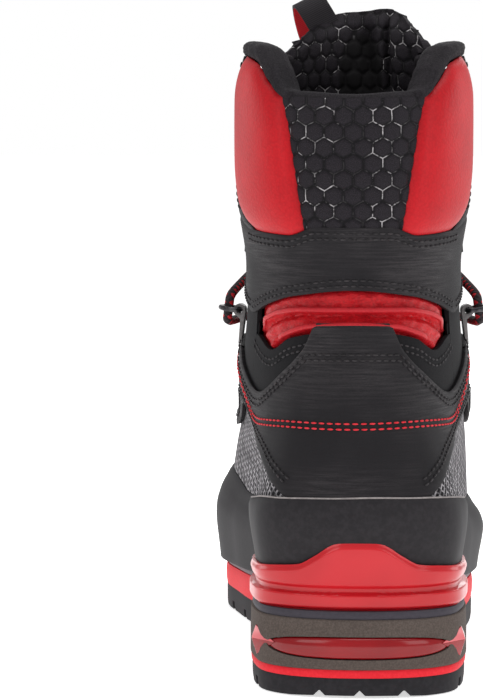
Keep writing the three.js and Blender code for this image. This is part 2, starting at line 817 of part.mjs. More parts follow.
// A bail: a straight bar along x that turns in its tab, and a round bow that holds the lace.
function bailGeometry() {
  const bow = Array.from({ length: 9 }, (_, i) => {
    const turn = (i / 8) * Math.PI;
    const x = ringRadius * Math.cos(turn);
    return new THREE.Vector3(x, 0, ringBarHeight + bailLegs + ringRadius * Math.sin(turn));
  });
  const foot = (side) => new THREE.Vector3(side * ringRadius, 0, ringBarHeight);
  const wire = tube([foot(1), ...bow, foot(-1)], wireDiameter, 14);
  const bar = new THREE.CylinderGeometry(
    wireDiameter / 2, wireDiameter / 2, 2 * ringRadius + wireDiameter, 10);
  bar.rotateZ(Math.PI / 2).translate(0, 0, ringBarHeight);
  return join([wire, bar]);
}

function tabGeometry() {
  const tabLength = 13;
  const tabWidth = 5;
  const tabThickness = 1.6;
  const knuckle = ringBarHeight;
  const side = new THREE.Shape();
  side.moveTo(-tabLength, 0);
  side.lineTo(0, 0);
  side.absarc(0, knuckle, knuckle, -Math.PI / 2, Math.PI * 0.8, false);
  side.lineTo(-3.4, tabThickness);
  side.lineTo(-tabLength, tabThickness * 0.7);
  const eye = new THREE.Path();
  eye.absarc(0, ringBarHeight, wireDiameter / 2 + seatGap, 0, 2 * Math.PI, true);
  side.holes.push(eye);
  const tab = new THREE.ExtrudeGeometry(side, {
    depth: tabWidth, bevelEnabled: false, curveSegments: 10,
  });
  tab.translate(0, 0, -tabWidth / 2);
  // drawn with x up the boot and y out of it
  const basis = new THREE.Matrix4().makeBasis(
    new THREE.Vector3(0, 1, 0), new THREE.Vector3(0, 0, 1), new THREE.Vector3(1, 0, 0));
  return tab.applyMatrix4(basis);
}

const seats = {
  loop: (side, level) => seatAt(side, loopAngle, level, loopSeat),
  hook: (side, level) => seatAt(side, hookAngle, level, cuffSeat),
  ring: (side) => seatAt(side, ringAngle, ringLevel, fittingSeat),
};

function buildFittings() {
  for (const [name, side] of Object.entries(sides)) {
    loopLevels.forEach((level, i) => {
      add(`lace_loop_${i + 1}_${name}`, seated(loopGeometry(), seats.loop(side, level)), 'steel');
    });
    hookLevels.forEach((level, i) => {
      add(`lace_hook_${i + 1}_${name}`, seated(hookGeometry(), seats.hook(side, level)), 'steel');
    });
    add(`ankle_tab_${name}`, seated(tabGeometry(), seats.ring(side)), 'nylon');
    add(`ankle_bail_${name}`, seated(bailGeometry(), seats.ring(side)), 'steel');
  }
}

// ---- lace --------------------------------------------------------------------------------
// Its points are chosen by hand, as angle, level and depth on the boot's surface.
const knotLevel = 216;
const knotDepth = 8;
const overDepth = 9;
const underDepth = 4.4;
const onFootEdge = overlayOuter + laceDiameter / 2 + 1.6;
const onCuffEdge = cuffThickness + laceDiameter / 2 + 1.2;

// A smooth line that an extrusion samples at its own points and not at even distances.
class HandLaid extends THREE.CatmullRomCurve3 {
  getPointAt(share, target) {
    return this.getPoint(share, target);
  }

  getTangentAt(share, target) {
    return this.getTangent(share, target);
  }
}

function laceTube(points, stepsEach = 1) {
  const section = new THREE.Shape(Array.from({ length: 8 }, (_, i) => {
    const turn = (i / 8) * 2 * Math.PI;
    return new THREE.Vector2(Math.cos(turn), Math.sin(turn)).multiplyScalar(laceDiameter / 2);
  }));
  return outward(new THREE.ExtrudeGeometry(section, {
    steps: (points.length - 1) * stepsEach,
    extrudePath: new HandLaid(points, false, 'centripetal'),
    bevelEnabled: false,
  }));
}

// The lace's way past one fitting, from below it to above it.
function passing(seat, { x, z }, reach) {
  const near = -5;
  const steps = [[near, -reach - 3], [x + 0.4 * (near - x) * 0.4, -reach], [x, -reach * 0.4],
    [x, reach * 0.4], [x + 0.4 * (near - x) * 0.4, reach], [near, reach + 3]];
  return steps.map(([away, up]) => seat(away, up, z));
}

// One half of the lace, from the bar across the throat's lower end up to the knot.
function laceHalf(side, depth) {
  const crossing = (level) => skin(180, level, depth);
  const foot = (where, level) => skin(where * 161, level, onFootEdge);
  const cuff = (where, level) => skin(where * 151, level, onCuffEdge);
  const [loop1, loop2, loop3] = loopLevels;
  const [hook1, hook2] = hookLevels;
  const lower = [loop1, loop2, loop3].map((level, i) => {
    const at = i % 2 ? -side : side;
    return passing(seats.loop(at, level), laceInLoop, 4);
  });
  return [
    ...lower[0],
    foot(side, loop1 + 3.3), crossing((loop1 + loop2) / 2), foot(-side, loop2 - 3.3),
    ...lower[1],
    foot(-side, loop2 + 3.3), crossing((loop2 + loop3) / 2), foot(side, loop3 - 3.3),
    ...lower[2].slice(0, 5),
    skin(side * 138, 123, 9.5),
    skin(side * 124, 125.5, 10),
    ...passing(seats.ring(side), laceInRing, 4.5).slice(1, 5),
    skin(side * 118, 138, 10),
    skin(side * 134, 141.5, 9),
    skin(side * 150, 143.5, 7.6),
    skin(side * 164, 145, mix(7.6, depth, 0.5)),
    crossing(146.5),
    skin(-side * 164, 147.6, mix(onCuffEdge, depth, 0.5)),
    cuff(-side, hook1 - 5),
    ...passing(seats.hook(-side, hook1), laceInHook, 6.5),
    cuff(-side, hook1 + 13),
    crossing((hook1 + hook2) / 2),
    cuff(side, hook2 - 12),
    ...passing(seats.hook(side, hook2), laceInHook, 6.5),
    cuff(side, hook2 + 9),
    skin(side * 166, 211.5, 6.8),
    skin(side * 176.9, knotLevel - 0.7, knotDepth - 1),
  ];
}

// The bow hangs from the knot in front of the crossed lace; angles are from the middle.
const bowRoute = [
  [2.3, 218.6, 9.8], [7, 219.8, 11], [14, 217, 12], [20, 211.5, 12.6], [24.5, 205, 13],
  [27, 197, 13.2], [26.5, 189, 13.2], [23, 182.5, 13.2], [17, 179.8, 13.2], [11.5, 182.5, 13.2],
  [8.5, 188.5, 13], [7, 196, 12.7], [5.8, 203, 12.4], [4.4, 208.4, 11.8], [2.5, 212, 11],
];
const tailRoute = [
  [0.5, 210.8, 9.6], [0.6, 207.4, 11.6], [0.8, 202, 13], [1, 195, 13.4], [1.4, 187, 13.4],
  [1.9, 179, 13.4], [2.4, 171, 13.3], [3, 163, 13.2], [3.6, 156, 13.2],
];
const tipLength = 14;

function buildLace() {
  const first = laceHalf(1, overDepth);
  const second = laceHalf(-1, underDepth);
  const bar = [-160, 180, 160].map((angle) => skin(angle, loopLevels[0] - 2.6, onFootEdge));
  add('lace', laceTube([...second.reverse(), ...bar, ...first]), 'lace');
  const knot = new THREE.SphereGeometry(4.4, 12, 8);
  knot.scale(1.25, 0.9, collarHeight / standard.collar);
  const knotAt = skin(180, knotLevel, knotDepth + 1);
  knot.translate(knotAt.x, knotAt.y, knotAt.z);
  add('lace_knot', outward(knot), 'lace');
  for (const [name, side] of Object.entries(sides)) {
    const lay = ([angle, level, depth]) => skin(180 - side * angle, level, depth);
    add(`lace_bow_${name}`, laceTube(bowRoute.map(lay)), 'lace');
    const tail = tailRoute.map(lay);
    add(`lace_tail_${name}`, laceTube(tail), 'lace');
    const end = tail[tail.length - 1];
    const way = end.clone().sub(tail[tail.length - 2]).normalize();
    const tip = new THREE.CylinderGeometry(1.5, 1.5, tipLength, 10);
    tip.applyQuaternion(new THREE.Quaternion().setFromUnitVectors(new THREE.Vector3(0, 1, 0), way));
    const middle = end.clone().addScaledVector(way, tipLength / 2 + seatGap);
    tip.translate(middle.x, middle.y, middle.z);
    add(`lace_tip_${name}`, outward(tip), 'nylon');
  }
}

buildSole();
buildWelt();
buildFootUpper(buildInsole());
buildAnkle();
buildCuff();
buildTongue();
buildFittings();
buildLace();

// the origin goes under the middle of the boot, on the ground
const extent = new THREE.Box3().setFromObject(boot, true);
const middle = extent.getCenter(new THREE.Vector3());
boot.position.set(-middle.x, -middle.y, -extent.min.z);

export default boot;
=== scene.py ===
import math

import bpy
import bmesh
import numpy as np
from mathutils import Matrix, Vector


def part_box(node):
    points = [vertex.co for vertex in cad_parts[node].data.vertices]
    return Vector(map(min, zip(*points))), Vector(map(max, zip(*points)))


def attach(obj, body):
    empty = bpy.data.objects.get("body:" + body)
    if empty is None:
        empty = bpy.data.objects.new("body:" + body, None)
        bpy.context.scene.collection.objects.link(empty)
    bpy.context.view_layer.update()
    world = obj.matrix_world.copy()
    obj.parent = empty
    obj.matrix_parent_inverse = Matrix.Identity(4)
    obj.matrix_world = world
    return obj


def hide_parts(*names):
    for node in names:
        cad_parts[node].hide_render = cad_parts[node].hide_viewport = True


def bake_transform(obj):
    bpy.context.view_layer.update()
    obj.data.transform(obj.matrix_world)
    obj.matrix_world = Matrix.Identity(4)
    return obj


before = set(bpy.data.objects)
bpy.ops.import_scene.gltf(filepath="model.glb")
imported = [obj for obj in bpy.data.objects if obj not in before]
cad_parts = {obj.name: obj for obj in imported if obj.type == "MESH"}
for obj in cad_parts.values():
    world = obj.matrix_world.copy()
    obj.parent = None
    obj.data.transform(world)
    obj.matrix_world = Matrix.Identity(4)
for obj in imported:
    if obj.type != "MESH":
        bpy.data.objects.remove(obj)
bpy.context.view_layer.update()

# A right mountaineering boot. Lengths are in millimetres until a mesh is made, which is in
# metres. The upper is one surface: angle 0 is the back of the heel, 90 the lateral side, 180
# the toe and shin, and a level is a height measured at the back.
MM = 0.001


# ---- camera and light --------------------------------------------------------------------
CAMERA_PLACE, CAMERA_DIP, CAMERA_TURN = (0.00384, -1.15226, 0.198), 4.16, 2.4
CAMERA_LENS, SENSOR_WIDTH = 144.8, 36
LAMPS_AIM = (0, -0.06, 0.12)
WORLD_LIGHT, WORLD_SEEN = 0.5, 1.0


def set_camera():
    bpy.ops.object.camera_add(location=CAMERA_PLACE)
    camera = bpy.context.object
    camera.name = "camera"
    camera.rotation_euler = (math.radians(90 - CAMERA_DIP), 0, math.radians(CAMERA_TURN))
    camera.data.lens = CAMERA_LENS
    camera.data.sensor_width = SENSOR_WIDTH
    camera.data.clip_start = 0.01
    bpy.context.scene.camera = camera


def set_light():
    """A white world, which is dimmer as a light than it is to the camera, and six lamps."""
    world = bpy.data.worlds.new("studio")
    bpy.context.scene.world = world
    world.use_nodes = True
    sky = world.node_tree.nodes["Background"]
    sky.inputs["Color"].default_value = (1, 1, 1, 1)
    path = world.node_tree.nodes.new("ShaderNodeLightPath")
    level = world.node_tree.nodes.new("ShaderNodeMapRange")
    level.inputs["To Min"].default_value = WORLD_LIGHT
    level.inputs["To Max"].default_value = WORLD_SEEN
    world.node_tree.links.new(path.outputs["Is Camera Ray"], level.inputs["Value"])
    world.node_tree.links.new(level.outputs["Result"], sky.inputs["Strength"])
    lamps = [
        ("key_light", (-0.75, -1.1, 0.75), 3.4, 0.7),
        ("fill_light", (0.95, -0.9, 0.55), 3.2, 0.7),
        ("top_light", (0.1, 0.0, 1.5), 12, 1.0),
        ("rim_light_left", (-0.9, 0.5, 0.4), 1.6, 0.5),
        ("rim_light_right", (0.9, 0.5, 0.4), 1.6, 0.5),
        ("toe_light", (0.1, 1.4, 0.7), 6, 0.8),
    ]
    for name, place, power, size in lamps:
        bpy.ops.object.light_add(type="AREA", location=place)
        lamp = bpy.context.object
        lamp.name = name
        lamp.data.energy = power
        lamp.data.size = size
        aim = np.array(LAMPS_AIM) - np.array(place)
        heading = math.atan2(aim[1], aim[0])
        dip = math.atan2(aim[2], math.hypot(aim[0], aim[1]))
        lamp.rotation_euler = (math.pi / 2 + dip, 0, heading - math.pi / 2)
    bpy.context.scene.view_settings.view_transform = "Standard"


set_camera()
set_light()


# ---- small maths -------------------------------------------------------------------------
def mix(a, b, share):
    return a + (b - a) * share


def ease(value, start, end):
    share = np.clip((value - start) / (end - start), 0, 1)
    return share * share * (3 - 2 * share)


def hump(value, middle, width):
    return np.exp(-(((value - middle) / width) ** 2))


def through(*points):
    """A smooth curve through (x, y) points that never overshoots them."""
    xs, ys = np.array(points, float).T
    rise = np.diff(ys) / np.diff(xs)
    slopes = np.zeros(len(xs))
    before, after = rise[:-1], rise[1:]
    same = before * after > 0
    slopes[1:-1][same] = 2 * before[same] * after[same] / (before[same] + after[same])

    def curve(x):
        at = np.clip(x, xs[0], xs[-1])
        i = np.clip(np.searchsorted(xs, at, side="left") - 1, 0, len(xs) - 2)
        h = xs[i + 1] - xs[i]
        s = (at - xs[i]) / h
        level = ys[i] * (1 + 2 * s) * (1 - s) ** 2 + ys[i + 1] * s * s * (3 - 2 * s)
        return level + h * (slopes[i] * s * (1 - s) ** 2 - slopes[i + 1] * s * s * (1 - s))

    return curve


def from_heel(angle):
    """The angle as 0 to 180 on the lateral side and 0 to -180 on the medial side."""
    angle = np.asarray(angle, float)
    return np.where(angle > 180, angle - 360, angle)


def mirrored(curve):
    return lambda angle: curve(np.abs(from_heel(angle)))


def travelled(line):
    """How far along a line each of its points is."""
    return np.concatenate([[0], np.cumsum(np.linalg.norm(np.diff(line, axis=0), axis=-1))])


# ---- plan of the sole --------------------------------------------------------------------
SOLE_LENGTH = 304.5
SOLE_INSET = 4
PLATE_HEEL_TOP, PLATE_BALL_TOP, PLATE_TOE_TOP = 30.6, 21, 28
PLATE_THICKNESS = 2.4
HEEL_RUBBER, BALL_RUBBER, HEEL_STRIPE = 6.9, 9.2, 3.1
TOE_SPRING, ARCH_LIFT, TREAD_DEPTH = 8, 6, 4.2
WEDGE_END = -14
SEAT_GAP = 0.3
HEEL_FLARE, FLARE_FADES = 1.0, (84, 110)

sole_fullness = through(
    (0, 100), (0.03, 88), (0.08, 69), (0.15, 55), (0.24, 42), (0.36, 35.4), (0.48, 42),
    (0.58, 49.5), (0.68, 55), (0.85, 57.5), (0.93, 64), (1, 80),
)
sole_centre = through(
    (0, 0), (0.2, 0), (0.36, 3), (0.58, -1), (0.7, -7), (0.85, -10.5), (1, -12),
)
plate_top = through(
    (-152, PLATE_HEEL_TOP), (-75, PLATE_HEEL_TOP), (5, PLATE_BALL_TOP + 1.2),
    (55, PLATE_BALL_TOP), (100, PLATE_BALL_TOP + 2), (152, PLATE_TOE_TOP),
)
tread = through(
    (-152, 0.6), (-146, 0), (-68, 0), (-58, ARCH_LIFT), (-32, ARCH_LIFT), (-20, 0), (85, 0),
    (120, TOE_SPRING * 0.3), (152, TOE_SPRING),
)
rubber_top = through(
    (-152, HEEL_RUBBER), (-85, HEEL_RUBBER), (-50, BALL_RUBBER), (85, BALL_RUBBER),
    (120, BALL_RUBBER + TOE_SPRING * 0.32), (152, BALL_RUBBER + TOE_SPRING),
)
stripe_top = through(
    (-152, HEEL_RUBBER + HEEL_STRIPE), (-85, HEEL_RUBBER + HEEL_STRIPE + 0.3),
    (WEDGE_END, PLATE_BALL_TOP + 0.2 - PLATE_THICKNESS),
)


def length_share(angle):
    return (1 - np.cos(np.radians(angle))) / 2


def sole_line(angle):
    share = length_share(angle)
    half = sole_fullness(share) * np.sin(np.radians(angle))
    return np.stack([sole_centre(share) + half, (share - 0.5) * SOLE_LENGTH], -1)


def sole_edge(angle, inset=0):
    """A point on the sole's edge, moved in by an inset square to the edge."""
    along = sole_line(angle + 0.5) - sole_line(angle - 0.5)
    along /= np.linalg.norm(along, axis=-1, keepdims=True)
    inward = np.stack([-along[..., 1], along[..., 0]], -1)
    wider = HEEL_FLARE * (1 - ease(np.abs(angle), *FLARE_FADES))
    return sole_line(angle) + inward * (np.asarray(inset) - wider)[..., None]


def frame_shift():
    """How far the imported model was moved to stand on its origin, from its sole plate."""
    low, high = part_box("shank_plate")
    outline = sole_line(np.arange(-180, 181, 6.0))
    middle = (outline.min(0) + outline.max(0)) / 2
    return np.array([(low[i] + high[i]) / 2 / MM - middle[i] for i in (0, 1)] + [0.0])


SHIFT = frame_shift()


# ---- surface of the upper ----------------------------------------------------------------
back_of = through(
    (30, -146.5), (44, -146.8), (55, -147.5), (64, -148), (76, -147), (88, -145), (100, -143),
    (112, -141), (124, -139.5), (136, -139), (150, -139.5), (170, -142), (190, -143.5),
    (210, -143.5), (236, -141), (256, -139),
)
front_of = through(
    (30, 144.5), (44, 146.5), (55, 147), (64, 142), (76, 124), (88, 94), (100, 60), (112, 28),
    (124, 4), (136, -13), (150, -26), (170, -34), (190, -38), (210, -39), (236, -36),
    (256, -32),
)
front_height = through(
    (55, 51), (64, 60), (76, 73.5), (88, 84), (100, 95.5), (112, 109.5), (124, 125),
    (136, 141), (150, 157), (170, 177), (190, 198), (210, 219), (236, 245), (256, 266),
)
half_width = through(
    (60, 42.5), (76, 42.5), (88, 42), (110, 41), (130, 38.5), (150, 37.2), (178, 40.3),
    (212, 40), (228, 38), (256, 36),
)
SHAFT_CENTRE = -2.3


def surface(angle, level):
    angle, level = np.broadcast_arrays(np.asarray(angle, float), np.asarray(level, float))
    share = length_share(angle)
    blend = ease(level, 50, 118)
    reach = mix(back_of(level), front_of(level), share)
    low = plate_top(reach) + level - PLATE_HEEL_TOP
    high = level + (front_height(np.maximum(level, 55)) - level) * share
    standing = mix(low, high, ease(level, 55, 88))
    square = mix(1, np.where(share > 0.5, 0.62, 0.92), ease(level, 105, 150))
    sine = np.sin(np.radians(angle))
    reach_out = np.sign(sine) * np.abs(sine) ** square
    full = mix(sole_fullness(share) - SOLE_INSET, half_width(level), blend)
    centre = mix(sole_centre(share), SHAFT_CENTRE, blend)
    return np.stack([centre + full * reach_out, reach, standing], -1) + SHIFT


def unit(vectors):
    return vectors / np.linalg.norm(vectors, axis=-1, keepdims=True)


def axes_at(angle, level):
    around = unit(surface(angle + 0.6, level) - surface(angle - 0.6, level))
    climb = surface(angle, level + 0.6) - surface(angle, level - 0.6)
    out = unit(np.cross(around, climb))
    return around, unit(np.cross(out, around)), out


def skin(angle, level, depth):
    return surface(angle, level) + axes_at(angle, level)[2] * np.asarray(depth)[..., None]


GIRTH_ANGLES = np.arange(-182, 363, 1.0)
GIRTH_LEVELS = np.arange(28, 260, 2.0)


def girth_table():
    points = surface(GIRTH_ANGLES[:, None], GIRTH_LEVELS[None, :])
    steps = np.linalg.norm(np.diff(points, axis=0), axis=-1)
    total = np.vstack([np.zeros(len(GIRTH_LEVELS)), np.cumsum(steps, 0)])
    return total - total[182]


GIRTHS = girth_table()


def girth(angle, level):
    """The distance round the boot from the middle of the heel, at a level."""
    i = np.clip((angle - GIRTH_ANGLES[0]), 0, len(GIRTH_ANGLES) - 1.001)
    j = np.clip((level - GIRTH_LEVELS[0]) / 2, 0, len(GIRTH_LEVELS) - 1.001)
    i0, j0 = i.astype(int), j.astype(int)
    low = mix(GIRTHS[i0, j0], GIRTHS[i0 + 1, j0], i - i0)
    high = mix(GIRTHS[i0, j0 + 1], GIRTHS[i0 + 1, j0 + 1], i - i0)
    return mix(low, high, j - j0)


# ---- edges of the panels, as levels by angle ---------------------------------------------
RAND_LEVEL, QUARTER_LEVEL, THROAT_LEVEL = 71.5, 118, 99
BAND_TOP, BACK_RIM, TONGUE_TOP = 169, 214.6, 242
FEATHER = PLATE_HEEL_TOP + 0.8
WELT_END, FLEX_END = 72, 60
welt_top = mirrored(through(
    (0, 56.5), (3.5, 56.3), (6, 54.6), (8.7, 51.4), (13, 47.6), (19, 46.6), (28, 45.4),
    (45, 44.5), (70, 42)))
rand_lateral = through(
    (0, RAND_LEVEL), (24, 69.8), (42, 67), (58, 63.5), (84, 61), (98, 60.5), (122, 59.5),
    (145, 58.5), (180, 62))
rand_medial = through(
    (0, RAND_LEVEL), (24, 69.8), (42, 67), (58, 63.5), (84, 61), (96, 62), (106, 66.5),
    (114, 68), (126, 65), (145, 58.5), (180, 62))
vamp_top = mirrored(through(
    (120, QUARTER_LEVEL), (153, QUARTER_LEVEL), (162, THROAT_LEVEL + 3),
    (171, THROAT_LEVEL), (180, THROAT_LEVEL - 0.5)))
heel_panel_top = mirrored(through(
    (0, 134), (16, 134), (23, 124.5), (32, 117), (50, 107.5), (70, 115), (84, 120.5)))
heel_panel_low = mirrored(through(
    (0, 70), (15.5, 70), (24, 74.5), (38, 82.5), (55, 90.5), (70, 96.5), (84, 101)))
overlay_top = mirrored(through((84, 121), (104, 123.5), (158, 124)))
band_low = mirrored(through(
    (0, 145.8), (30, 143), (50, 138.5), (65, 134.5), (85, 138), (110, 144), (150, 147)))
band_top = mirrored(through(
    (0, BAND_TOP), (16, BAND_TOP), (32, 165.6), (60, 166), (84, 169), (150, 170)))
flex_low = mirrored(through((0, 130), (17, 130), (32, 128), (45, 123), (60, 127.5)))
pad_inner = through((160, 22), (169, 23), (187, 27), (205, 31.5), (216, 35))
pad_outer = through((165, 58), (170, 68), (178, 77), (190, 82), (230, 84))
pad_top = mirrored(through(
    (30, 213.8), (35, 214.2), (45, 218.6), (60, 225.6), (82, 227), (110, 223), (150, 218)))
roll_top = mirrored(through(
    (34, 217.5), (45, 226.5), (60, 232.8), (75, 233.2), (110, 230), (141, 225.5)))


def rand_top(angle):
    """The rubber's upper edge, which rises a little at the ball on the medial side."""
    turned = from_heel(angle)
    return np.where(turned < 0, rand_medial(-turned), rand_lateral(np.abs(turned)))


def overlay_low(angle):
    away = np.abs(angle)
    return np.maximum(mix(100, 84, ease(away, 84, 109)), rand_top(angle) + 0.2)


# ---- materials ---------------------------------------------------------------------------
SHINE = 0.2


class Socket:
    """A value in a material. Arithmetic on it adds the Math nodes."""

    def __init__(self, finish, link):
        self.finish = finish
        self.link = link

    def math(self, operation, first, second=0.0):
        return self.finish.node("Math", {"operation": operation}, {0: first, 1: second})

    def __add__(self, other):
        return self.math("ADD", self, other)

    def __radd__(self, other):
        return self.math("ADD", other, self)

    def __sub__(self, other):
        return self.math("SUBTRACT", self, other)

    def __rsub__(self, other):
        return self.math("SUBTRACT", other, self)

    def __mul__(self, other):
        return self.math("MULTIPLY", self, other)

    def __truediv__(self, other):
        return self.math("DIVIDE", self, other)

    def __abs__(self):
        return self.math("ABSOLUTE", self)

    def least(self, other):
        return self.math("MINIMUM", self, other)

    def most(self, other):
        return self.math("MAXIMUM", self, other)

    def wrap(self, period):
        """The value brought to within half a period of nought."""
        return self.finish.node("Math", {"operation": "WRAP"},
                                {0: self, 1: period / 2, 2: -period / 2})

    def sine(self):
        return self.math("SINE", self)

    def step(self, low, high, start=0.0, end=1.0):
        """Eases from start to end as the value goes from low to high."""
        return self.finish.node(
            "MapRange", {"interpolation_type": "SMOOTHSTEP"},
            {0: self, 1: low, 2: high, 3: start, 4: end})


class Finish:
    """A material that is built up from nodes."""

    def __init__(self, name):
        self.material = bpy.data.materials.new(name)
        self.material.use_nodes = True
        self.tree = self.material.node_tree
        self.shader = self.tree.nodes["Principled BSDF"]

    def node(self, kind, settings=None, inputs=None, output=0):
        made = self.tree.nodes.new("ShaderNode" + kind)
        for name, value in (settings or {}).items():
            setattr(made, name, value)
        for key, value in (inputs or {}).items():
            self.feed(made.inputs[key], value)
        return Socket(self, made.outputs[output])

    def feed(self, socket, value):
        if isinstance(value, Socket):
            self.tree.links.new(value.link, socket)
        elif isinstance(value, tuple) and len(value) == 3 and socket.type == "RGBA":
            socket.default_value = (*value, 1)
        else:
            socket.default_value = value

    def place(self):
        return self.node("TexCoord", output="Object")

    def lay(self):
        """The piece's own map: round the boot and up it, in metres."""
        return self.node("UVMap", {"uv_map": "lay"})

    def parts(self, vector):
        split = self.node("SeparateXYZ", {}, {0: vector})
        outputs = split.link.node.outputs
        return [Socket(self, outputs[i]) for i in range(3)]

    def stretch(self, vector, scale, turn=(0, 0, 0)):
        return self.node("Mapping", {}, {"Vector": vector, "Scale": scale, "Rotation": turn})

    def noise(self, vector, scale, detail=2.0, roughness=0.5, distortion=0.0):
        return self.node("TexNoise", {}, {
            "Vector": vector, "Scale": scale, "Detail": detail, "Roughness": roughness,
            "Distortion": distortion})

    def cells(self, vector, scale):
        return self.node("TexVoronoi", {"feature": "SMOOTH_F1"},
                         {"Vector": vector, "Scale": scale})

    def blend(self, share, first, second):
        return self.node("Mix", {"data_type": "RGBA"}, {0: share, 6: first, 7: second}, 2)

    def finish(self, colour, roughness, height=None, relief=0.0002, strength=1.0, **fixed):
        """Sets the shader: a colour, a roughness and a height for the relief."""
        self.feed(self.shader.inputs["Base Color"], colour)
        self.feed(self.shader.inputs["Roughness"], roughness)
        self.shader.inputs["Specular IOR Level"].default_value = SHINE
        for name, value in fixed.items():
            self.feed(self.shader.inputs[name.replace("_", " ")], value)
        if height is not None:
            bump = self.node("Bump", {}, {
                "Strength": strength, "Distance": relief, "Height": height})
            self.feed(self.shader.inputs["Normal"], bump)
        return self.material


def tint(red, green, blue):
    """A colour as it is seen on a screen, turned into the light it stands for."""
    def one(value):
        share = value / 255
        return share / 12.92 if share < 0.04045 else ((share + 0.055) / 1.055) ** 2.4
    return (one(red), one(green), one(blue))


def brushed_microfibre(name, base, lit):
    f = Finish(name)
    place = f.place()
    streaks = f.noise(f.stretch(place, (1, 1, 26)), 60, 4, 0.7)
    clouds = f.noise(place, 30, 2)
    fibres = f.noise(f.stretch(place, (1, 1, 9)), 900, 3, 0.6)
    tone = (streaks.step(0.35, 0.8) * 0.7 + fibres.step(0.4, 0.75) * 0.3) * clouds.step(0.3, 0.7)
    colour = f.blend(tone, base, lit)
    rough = 0.72 - tone * 0.22
    return f.finish(colour, rough, streaks * 0.5 + fibres, 0.00008)


def red_leather(name, base, deep, creases):
    f = Finish(name)
    place = f.place()
    grain = f.cells(place, 1100)
    pores = f.noise(place, 2400, 2)
    clouds = f.noise(place, 45, 3)
    height = grain * 0.8 + pores * 0.35
    if creases:
        folds = f.noise(f.stretch(place, (1, 1, 2.2)), 190, 4, 0.62, 0.8)
        height = height * 0.5 + folds * 4
    colour = f.blend(grain.step(0.15, 0.75) * 0.35 + clouds.step(0.3, 0.75) * 0.5, base, deep)
    rough = 0.38 + pores * 0.2
    return f.finish(colour, rough, height, 0.0002 if creases else 0.00012, 0.9)


HEX_WIDTH = 6.5


def hex_fabric(name, silver_from, silver_to, painted_hollow_shade=False):
    """Padded cloth with a honeycomb pressed in and worn silver print along its lines."""
    f = Finish(name)
    across, up, _ = f.parts(f.lay())
    wobble = f.noise(f.lay(), 160, 2) - 0.5
    x = across * 1000 + wobble * 0.8
    y = up * 1000 - wobble * 0.8

    def out_from(cell_x, cell_y):
        a, b = abs(cell_x), abs(cell_y)
        return a.most(a * 0.5 + b * (math.sqrt(3) / 2))

    tall = HEX_WIDTH * math.sqrt(3)
    first = out_from(x.wrap(HEX_WIDTH), y.wrap(tall))
    second = out_from((x + HEX_WIDTH / 2).wrap(HEX_WIDTH), (y + tall / 2).wrap(tall))
    rim = HEX_WIDTH / 2 - first.least(second)
    worn = f.noise(f.lay(), 260, 3, 0.7)
    patches = f.noise(f.lay(), 75, 1)
    side = abs(x).step(silver_from, silver_to)
    line = rim.step(0.08, 0.27, 1, 0)
    print_mask = line * worn.step(0.44, 0.6) * (patches.step(0.4, 0.56) * side * 0.9 + 0.06)
    specks = f.noise(f.lay(), 2600, 1).step(0.68, 0.8) * line * 0.5
    knit = f.noise(f.lay(), 3400, 2)
    cloth = f.blend(knit.step(0.4, 0.8), tint(24, 21, 25), tint(50, 45, 51))
    # The pressed-in lines are painted darker than the cloth: painted shade in the grooves.
    painted_groove_shade = f.blend(rim.step(0.1, 0.9), tint(12, 10, 13), cloth)
    colour = f.blend(print_mask.most(specks), painted_groove_shade, tint(168, 164, 166))
    # Painted shade: a near-black patch low in the middle of the lining stands in for the shadow in
    # the gully between the tongue's folds.
    if painted_hollow_shade:
        deep = (across * 1000 + 3) / 9.5
        below = (up * 1000 - 215) / 17
        hollow_shade_mask = (deep * deep + below * below).step(0.75, 1.15, 1, 0)
        colour = f.blend(hollow_shade_mask, colour, tint(8, 6, 8))
    height = rim.step(0.1, 1.3) * 1.2 + knit * 0.35
    return f.finish(colour, 0.82 - print_mask * 0.35, height, 0.00035, 0.9)


def woven_mesh(name):
    """An open weave of pale yarns over a black ground."""
    f = Finish(name)
    turned = f.stretch(f.lay(), (1000, 1000, 1), (0, 0, math.radians(38)))
    x, y, _ = f.parts(turned)
    pitch = 2.3
    ripple = (x * (2 * math.pi / pitch)).sine() * 0.14
    along = abs((y + ripple).wrap(pitch))
    other = abs((x - ripple).wrap(pitch))
    row = (y * (math.pi / pitch)).sine().step(-0.2, 0.2)
    column = (x * (math.pi / pitch)).sine().step(-0.2, 0.2)
    yarn_a = along.step(0.2, 0.42, 1, 0) * (0.35 + column * 0.65)
    yarn_b = other.step(0.2, 0.42, 1, 0) * (0.35 + row * 0.65)
    yarn = yarn_a.most(yarn_b)
    twist = f.noise(f.lay(), 3000, 2)
    clouds = f.noise(f.lay(), 140, 2)
    mask = yarn * twist.step(0.3, 0.6, 0.45, 1) * clouds.step(0.3, 0.6, 0.5, 1)
    ground = f.blend(twist, tint(10, 9, 12), tint(30, 28, 33))
    colour = f.blend(mask, ground, tint(188, 184, 188))
    return f.finish(colour, 0.85, yarn + twist * 0.3, 0.0003, 0.9)


def knit_cloth(name, base, lit, scale=1800, relief=0.0002):
    f = Finish(name)
    across, up, _ = f.parts(f.lay())
    ribs = (across * (2 * math.pi * scale)).sine() * (up * (2 * math.pi * scale * 0.7)).sine()
    fuzz = f.noise(f.place(), 1500, 3, 0.7)
    clouds = f.noise(f.place(), 60, 2)
    height = ribs * 0.3 + fuzz
    colour = f.blend(fuzz.step(0.35, 0.7) * 0.6 + clouds * 0.3, base, lit)
    return f.finish(colour, 0.9 - fuzz * 0.1, height, relief, 0.9)


